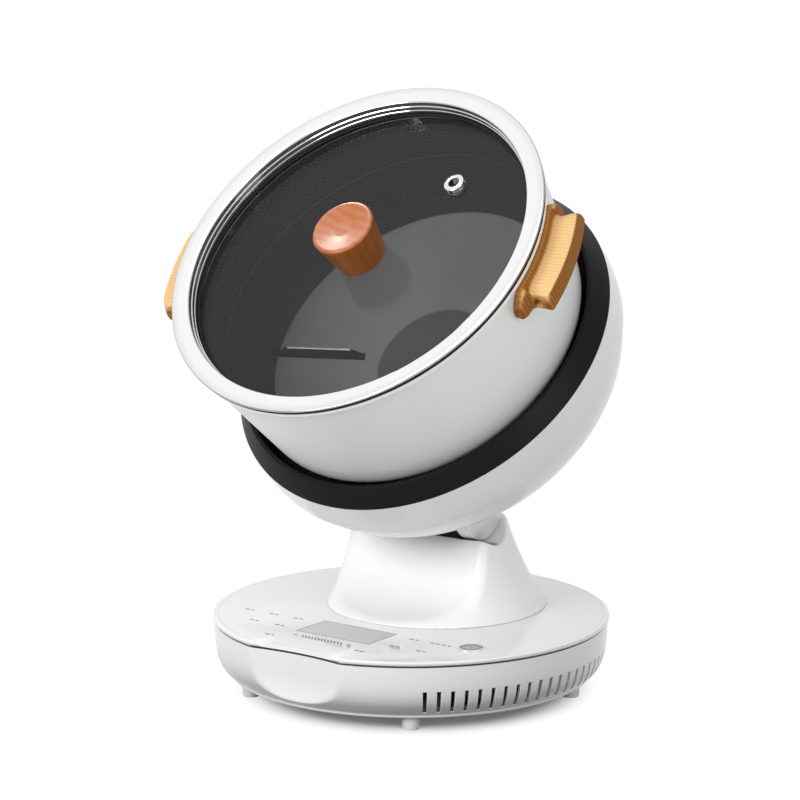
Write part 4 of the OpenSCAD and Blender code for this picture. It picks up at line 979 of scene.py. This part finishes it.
def pot_body():
    """The drawn pot with its rolled rim, a crisp inner knee, a dished floor and a stirring rib."""
    rim_foot = pot.top + POT_RIM_H
    floor_r, knee = FLOOR_R, -POT_KNEE + POT_WALL
    disc_z = -pot.low + POT_WALL
    outside = rounded([
        (0, -pot.low, 0), (POT_DISC_R, -pot.low, 6.0), (pot_wall_r(POT_KNEE), -POT_KNEE, 12.0),
        (pot_wall_r(rim_foot), -rim_foot, 0.6), (pot.far, -rim_foot, 1.2), (pot.far, -pot.top, 1.2),
        (pot_wall_r(pot.top) - POT_WALL, -pot.top, 0.8), (floor_r + KNEE_IN + 1.2, knee + 10.0, 9.0),
        (floor_r, knee + 1.0, 0)])[:-1]
    bead = [(floor_r - 0.4, knee + 0.6), (floor_r - 1.2, knee + 0.1)]
    floor = [(r, knee + (disc_z - knee) * (floor_r - r) / (floor_r - POT_DISC_R))
             for r in np.arange(floor_r - 2.0, POT_DISC_R, -0.8)]
    disc = [(r, disc_z) for r in (POT_DISC_R - 1.0, 30.0, 12.0, 0.0)]
    outline = np.array([tuple(p) for p in outside] + bead + floor + disc)
    knee_rows = 9
    inner_start = len(outside) - knee_rows
    rib_turn = math.radians(POT_TURN + RIB_ANGLE)
    fine, lag = math.radians(8.0), math.radians(7.0)
    angles = np.concatenate([np.linspace(-fine, fine, 64, endpoint=False),
                             np.linspace(fine, 2 * math.pi - fine, 224, endpoint=False)]) + rib_turn - lag

    def rise(a, low, high):
        t = np.clip((a - low) / (high - low), 0, 1)
        return t * t * (3 - 2 * t)

    def lift(points):
        """The rib: a steep far side, a narrow crest and a long near slope."""
        x, y = points[..., 0], points[..., 1]
        along = x * math.cos(rib_turn) + y * math.sin(rib_turn)
        across = y * math.cos(rib_turn) - x * math.sin(rib_turn) - RIB_OFFSET
        height = rise(across, -0.5 * RIB_W, -0.40 * RIB_W) * (1 - rise(across, -0.2 * RIB_W, 0.55 * RIB_W))
        height = height * rise(along, RIB_IN, RIB_IN + 9) * (1 - rise(along, RIB_OUT - 3, RIB_OUT + 3))
        upper = np.arange(len(outline))[:, None] >= len(outside)
        return RIB_H * height * upper

    turned_piece("pot_body_drawn", outline, "pot_body", [FINISHES["pot_metal"], NONSTICK], angles=angles,
                 lift=lift, second_from=inner_start, ring=False, angle=50.0)


def pot_handle(node, side, material):
    """A wooden handle: a curved grip over a tunnel, and a back plate with a sloping foot at each end."""
    arc_r = (GRIP_IN + GRIP_OUT) / 2
    half = math.radians(GRIP_SPAN / 2) * arc_r
    end = math.radians(HANDLE_SPAN / 2) * arc_r
    plate_top, plate_out = pot.top + POT_RIM_H + 1.4, GRIP_IN - 2.0
    foot_out, inside = GRIP_IN + 1.2, GRIP_IN - 14.0
    end_roll, tunnel_r, tunnel_in, pot_gap = 6.0, 3.4, 9.0, 0.2
    grip_edge, plate_edge, foot_edge, tunnel_edge, pot_edge = 2.0, 1.6, 4.5, 1.0, 0.5
    roll_blend, foot_blend, slope_blend, grip_blend = 5.0, 2.0, 4.0, 4.0
    tunnel_at, tunnel_depth = GRIP_IN + 5.0, GRIP_LOW - 5.0

    def field(p):
        s, r, d = np.moveaxis(p, -1, 0)
        reach = np.abs(s)
        mirrored = np.stack([reach, r, d], -1)
        grip = rounded_box(p, (-half, GRIP_IN - 4, GRIP_TOP), (half, GRIP_OUT, GRIP_LOW), grip_edge)
        grip = soft_most(grip, 0.71 * (reach - half + end_roll - d + GRIP_TOP), roll_blend)
        plate = rounded_box(p, (-end, inside, plate_top), (end, plate_out, GRIP_LOW - 0.4), plate_edge)
        foot_low = (half - 3, inside, plate_top + 0.6)
        foot = rounded_box(mirrored, foot_low, (end, foot_out, GRIP_LOW - 0.2), foot_edge)
        slope = 0.74 * (reach - half - 3) - 0.67 * (d - plate_top)
        back = soft_most(soft_least(plate, foot, foot_blend), slope, slope_blend)
        wood = soft_least(grip, back, grip_blend)
        arch = np.hypot(r - tunnel_at, d - tunnel_depth) - tunnel_r
        tunnel = np.maximum(arch, half - tunnel_in - reach)
        wood = soft_most(wood, -tunnel, tunnel_edge)
        return soft_most(wood, pot_wall_r(d) + pot_gap - r, pot_edge)

    points, faces = carved(field, (-end, GRIP_IN - 12, plate_top), (end, GRIP_OUT, GRIP_LOW), 0.75)
    turn = points[:, 0] / arc_r + math.radians(POT_TURN + side)
    placed = np.stack([points[:, 1] * np.cos(turn), points[:, 1] * np.sin(turn), -points[:, 2]], -1)
    name = node + "_wood"
    finished(name, closed_mesh(name, placed, faces, HEAD, angle=60.0), node, [material])


# Lid and collar

def lid_pieces():
    """The lid's stepped rim, the seal on its glass and the gasket under its edge."""
    bed, lip, wall_r, seal_w, bulge = -glass.top, 1.7, gasket.near - 0.2, 2.0, 0.6
    first_in, first_at, step_in, step_at = 0.8, 4.6, 1.3, 8.4
    first_r, step_r = lid.near - first_in, lid.near - step_in
    rim = rounded([
        (lid.far, -lip, 0.3), (lid.far, -0.2, 1.0), (lid.far - 3.0, 0, 2.0), (lid.near + 2.2, 0, 1.2),
        (lid.near, -0.9, 1.2), (lid.near, -first_at, 0.2), (first_r, -first_at - 0.5, 0.2),
        (first_r, -step_at, 0.1), (step_r, -step_at - 0.3, 0.1), (step_r, bed + 0.4, 0.3),
        (lid.near, bed + 0.4, 0), (glass.far + 0.2, bed, 0), (glass.far + 0.2, -glass.low, 0),
        (lid.near, -glass.low, 0), (lid.near, -lid.low, 0.4), (wall_r, -lid.low, 0.8),
        (wall_r, -gasket.top, 0.3), (lid.far - 1, -gasket.top, 0.3), (lid.far - 1, -lip, 0.3)])
    turned_piece("lid_rim_turned", rim, "lid_rim")
    seal = rounded([
        (step_r - 0.05, bed + 0.05, 0), (step_r - 0.05, bed + 1.6, 0.5),
        (step_r - seal_w, bed + 0.9, 0.4), (step_r - seal_w, bed + 0.05, 0)])
    turned_piece("lid_glass_seal", seal, "lid_gasket", stands_for=False)
    moulding = rounded([
        (gasket.near, -gasket.top, 0.2), (gasket.near, -gasket.low, 0.2),
        (gasket.far + bulge, -gasket.low, 0.9), (gasket.far + bulge, -lip - 0.1, 0.3),
        (gasket.far, -lip - 0.1, 0), (gasket.far, -gasket.top, 0.2)])
    turned_piece("lid_gasket_moulded", moulding, "lid_gasket")


def seat_collar():
    """The black collar round the pot: a slanted face under a narrow flat edge."""
    flat, bevel, wall, web = 2.4, 0.8, 2.6, 4.5
    near, top, low = collar.near, -collar.top, -collar.low
    outline = rounded([
        (collar.far, low, 0.2), (collar.far, low + 1.0, 0.6), (near + bevel + flat, top, 0.7),
        (near + bevel, top, 0.4), (near, top - 1.0, 0.4), (near, low, 0), (near + wall, low, 0),
        (near + wall, top - web, 0), (collar.far - wall - 1.0, low, 0)], 4)
    turned_piece("seat_collar_turned", outline, "seat_collar", angle=30.0)


def lid_knob():
    """The wooden knob, with a shallow dish in its top."""
    edge, dish, foot_r = 2.6, 2.8, 19.0
    top, foot = -knob.top, -knob.low
    side = rounded([
        (0, foot, 0), (foot_r, foot, 1.0), (knob.far, top - 0.9, edge), (knob.far * 0.3, top - dish, 16.0),
        (0, top - dish, 0)], 10)
    return turned_piece("lid_knob_turned", side, "lid_knob", ring=False, angle=60.0)


def steam_vent():
    """A steel tube with a flange on each side of the glass."""
    flange_r, hole_r, proud, neck_w, under_t = 7.8, 4.2, 1.4, 1.2, 1.2
    turn = Matrix.Rotation(math.radians(VENT_ANGLE), 4, "Z")
    neck, top, low = hole_r + neck_w, -glass.top, -glass.low
    tube = rounded([
        (hole_r, low - under_t, 0.3), (flange_r, low - under_t, 0.5), (flange_r, low, 0.3), (neck, low, 0),
        (neck, top, 0), (flange_r, top, 0.3), (flange_r, top + proud * 0.4, 0.8),
        (flange_r - 2.0, top + proud, 1.2), (hole_r, top + proud * 0.7, 0.8)])
    turned_piece("steam_vent_turned", tube, "steam_vent",
                 matrix=HEAD @ turn @ Matrix.Translation((VENT_RING_R * MM, 0, 0)),
                 angles=np.linspace(0, 2 * math.pi, 72, endpoint=False))


# Panel marks

def mark_tree():
    """A tree that puts a row of slightly uneven dashes at each point of a mesh."""
    tree = bpy.data.node_groups.new("mark_row", "GeometryNodeTree")
    tree.interface.new_socket("Geometry", in_out="OUTPUT", socket_type="NodeSocketGeometry")
    kinds = {"Geometry": "Geometry", "Count": "Int", "Pitch": "Float", "Dash": "Vector", "Slant": "Float",
             "Least": "Float", "Seed": "Int", "Finish": "Material"}
    for words, kind in kinds.items():
        tree.interface.new_socket(words, in_out="INPUT", socket_type="NodeSocket" + kind)

    sheet = Sheet(tree)
    outputs = sheet.node("NodeGroupInput").outputs
    start = {words: Socket(sheet, outputs[words]) for words in kinds}

    def spread(points, thing, **turns):
        """One mesh of a thing at each point."""
        inputs = {"Points": points, "Instance": thing, **turns}
        copies = sheet.add("GeometryNodeInstanceOnPoints", inputs)
        return sheet.add("GeometryNodeRealizeInstances", {"Geometry": copies})

    pitch = sheet.join(start["Pitch"], 0.0, 0.0)
    slant = sheet.join(0.0, 0.0, start["Slant"])
    least = sheet.join(start["Least"], 1.0, 1.0)
    row = sheet.add("GeometryNodeMeshLine", {"Count": start["Count"], "Offset": pitch}, mode="OFFSET")
    dash = sheet.add("GeometryNodeMeshCube", {"Size": start["Dash"]})
    sizes = {"Min": least, "Max": (1.0, 1.0, 1.0), "Seed": start["Seed"]}
    uneven = sheet.add("FunctionNodeRandomValue", sizes, data_type="FLOAT_VECTOR")
    rows = spread(start["Geometry"], spread(row, dash, Rotation=slant, Scale=uneven))
    painted = sheet.add("GeometryNodeSetMaterial", {"Geometry": rows, "Material": start["Finish"]})
    sheet.node("NodeGroupOutput", {0: painted})
    return tree


def mark_rows(tree, places, **sizes):
    """The mesh of one kind of row at its places on the deck."""
    seat = bpy.data.meshes.new("mark_places")
    seat.from_pydata([(x * MM, y * MM, (deck_top + 0.02) * MM) for x, y in places], [], [])
    holder = in_scene("mark_places", seat)
    modifier = holder.modifiers.new("rows", "NODES")
    modifier.node_group = tree
    for item in tree.interface.items_tree:
        if item.in_out == "INPUT" and item.name in sizes:
            modifier[item.identifier] = sizes[item.name]
    holder.update_tag()
    evaluated = holder.evaluated_get(bpy.context.evaluated_depsgraph_get())
    mesh = bpy.data.meshes.new_from_object(evaluated)
    bpy.data.objects.remove(holder)
    return mesh


def deck_marks():
    """The panel's print: rows of plain dashes and the ticks of a slider."""
    tree = mark_tree()
    print_h, long_dash, short_dash, tick = 0.12, (4.2, 1.7), (3.2, 1.6), (1.25, 5.6)
    pairs = [(-102, -70.5), (-79, -70.3), (-55.6, -70.3), (-79.6, -93.5), (-55, -93.9), (-44, -119.2),
             (50.6, -68.6), (50.2, -92), (73.6, -92), (36.8, -117.7)]
    rows = [
        (pairs, 2, 5.0, long_dash, 0.0, 0.65, 4),
        ([(69.5, -68.6)], 4, 5.0, long_dash, 0.0, 0.6, 9),
        ([(-19.2, -109)], 13, 2.95, tick, 0.62, 1.0, 1),
        ([(-25.8, -109), (22.9, -109)], 1, 1.0, short_dash, 0.0, 1.0, 2)]
    work = bmesh.new()
    for places, count, pitch, dash, slant, least, seed in rows:
        size = tuple(v * MM for v in (*dash, print_h))
        work.from_mesh(mark_rows(tree, places, Count=count, Pitch=pitch * MM, Dash=size, Slant=slant,
                                 Least=least, Seed=seed, Finish=DECK_PRINT))
    finished("deck_marks", mesh_of(work, "deck_marks"), "deck_cover", [DECK_PRINT], stands_for=False)


def key_mark():
    """A plain on and off mark on the push button: an open ring and a bar."""
    low, high = (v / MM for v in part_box("power_button"))
    middle = (low + high) / 2
    ring_in, ring_out, gap, sink, print_h = 3.2, 4.0, 0.55, 0.02, 0.1
    turns = np.linspace(math.pi / 2 + gap, 2.5 * math.pi - gap, 40)
    sweeps = ((ring_in, turns), (ring_out, turns[::-1]))
    arc = [(r * math.cos(a), r * math.sin(a)) for r, sweep in sweeps for a in sweep]
    bar = [(-0.4, 1.2), (0.4, 1.2), (0.4, 4.6), (-0.4, 4.6)]
    work = bmesh.new()
    for outline in (arc, bar):
        corners = [((middle.x + x) * MM, (middle.y + y) * MM, (high.z - sink) * MM) for x, y in outline]
        face = work.faces.new([work.verts.new(corner) for corner in corners])
        face.normal_update()
        top = bmesh.ops.extrude_face_region(work, geom=[face])["geom"]
        raised = [part for part in top if isinstance(part, bmesh.types.BMVert)]
        bmesh.ops.translate(work, vec=(0, 0, print_h * MM), verts=raised)
    bmesh.ops.triangulate(work, faces=work.faces)
    bmesh.ops.recalc_face_normals(work, faces=work.faces)
    finished("key_mark", mesh_of(work, "key_mark"), "power_button", [KEY_PRINT], stands_for=False)


# Solids that keep their shape and take a smooth skin
SMOOTH_NODES = [
    "rubber_feet", "foot_screws", "display_window", "button_bezel",
    "power_button", "mains_inlet", "column_frame", "hinge_bushes", "friction_washers",
    "tilt_shaft", "hinge_yoke", "hinge_caps", "bowl_shell", "head_band", "well_liner",
    "pot_hub", "drive_coupling", "handle_screws", "lid_glass", "knob_screw", "heat_sensor",
]

for name, solid in nodes.items():
    solid.data.materials.clear()
    solid.data.materials.append(FINISHES[slot_of[name]])
for name in SMOOTH_NODES:
    smooth_copy(name)
smooth_copy("deck_cover", [DECK_SKIN])
bottom_plate()
base_shell()
column_shell()
pot_body()
pot_handle("pot_handle_right", 0, FINISHES["handle_pine"])
pot_handle("pot_handle_left", 180, PINE_LEFT)
seat_collar()
lid_pieces()
knob_piece = lid_knob()
steam_vent()
deck_marks()
key_mark()


# Stage

def add_floor():
    """A white floor that keeps the shadow near the machine and runs out to plain white; to bounced light it
    is painted dark near the machine, as painted shade for the undersides above it.
    """
    half_side = 6.0
    work = bmesh.new()
    bmesh.ops.create_grid(work, x_segments=2, y_segments=2, size=half_side)
    mesh = mesh_of(work, "floor")
    floor = in_scene("floor", mesh)
    paint = Finish("floor_white", color=grey(0.75), specular=0.0, roughness=0.9)
    radius = paint.polar(paint.place(Matrix.Translation((0.008, -0.006, 0))))[0]
    far = 0.10 + 0.90 * radius.step(104.0, 139.0)
    lit = Socket(paint, paint.shader.outputs[0])
    white = paint.add("ShaderNodeEmission", {"Strength": 1.0})
    # Painted shade: the floor is dark to bounced light near the machine, which darkens the undersides above
    # it.
    under = paint.add("ShaderNodeBsdfDiffuse", {"Color": grey(0.08)})
    around = paint.add("ShaderNodeBsdfDiffuse", {"Color": grey(0.55)})
    bounce_painted_dark_near = paint.add("ShaderNodeMixShader", {0: radius.step(150.0, 380.0), 1: under, 2: around})
    near = paint.add("ShaderNodeMixShader", {0: far, 1: lit, 2: white})
    shown = paint.add("ShaderNodeMixShader", {0: paint.seen_ray(), 1: bounce_painted_dark_near, 2: near})
    paint.put(shown, paint.tree.nodes["Material Output"].inputs["Surface"])
    mesh.materials.append(paint.material)


def add_world(level):
    """Even light from all round, and plain white where it is seen or mirrored."""
    world = bpy.data.worlds.new("studio")
    bpy.context.scene.world = world
    world.use_nodes = True
    sheet = Sheet(world.node_tree)
    light = sheet.tree.nodes["Background"].inputs
    light["Color"].default_value = (1, 1, 1, 1)
    shown = {"Value": sheet.seen_ray(), "To Min": level, "To Max": 1.0}
    sheet.put(sheet.add("ShaderNodeMapRange", shown), light["Strength"])


def aim(thing, place, ahead):
    """Puts a lamp or the camera at a place and lets it look ahead."""
    thing.location = place
    thing.rotation_mode = "QUATERNION"
    thing.rotation_quaternion = ahead.to_track_quat("-Z", "Y")


def add_softbox(name, place, width, height, power, gloss_on=None):
    """A flat lamp, which may be one that only puts a highlight on a single piece."""
    lamp = bpy.data.lights.new(name, "AREA")
    lamp.shape = "RECTANGLE"
    lamp.size = width
    lamp.size_y = height
    lamp.energy = power
    box = in_scene(name, lamp)
    if gloss_on:
        box.visible_diffuse = False
        group = bpy.data.collections.new(name)
        group.objects.link(gloss_on)
        box.light_linking.receiver_collection = group
    aim(box, place, LIT_POINT - Vector(place))


def add_camera():
    """The photograph's camera."""
    azimuth, elevation = math.radians(CAMERA_AZIMUTH), math.radians(CAMERA_ELEVATION)
    ahead = Vector((-math.sin(azimuth) * math.cos(elevation), math.cos(azimuth) * math.cos(elevation),
                    -math.sin(elevation)))
    lens = bpy.data.cameras.new("camera")
    lens.lens = CAMERA_LENS
    lens.sensor_width = CAMERA_SENSOR
    lens.sensor_fit = "HORIZONTAL"
    lens.clip_end = 50.0
    camera = in_scene("camera", lens)
    aim(camera, CAMERA_PLACE, ahead)
    bpy.context.scene.camera = camera


bpy.context.scene.view_settings.view_transform = "Standard"
add_floor()
add_world(0.49)
add_softbox("key", (-0.35, -2.1, 1.0), 1.3, 1.0, 29.0)
add_softbox("top", (-0.4, -0.9, 2.4), 1.2, 1.2, 9.0)
add_softbox("fill", (2.2, -0.9, 1.0), 1.2, 1.2, 14.0)
add_softbox("spark", (-1.16, 0.2, 1.95), 0.4, 0.4, 20.0, gloss_on=knob_piece)
add_camera()
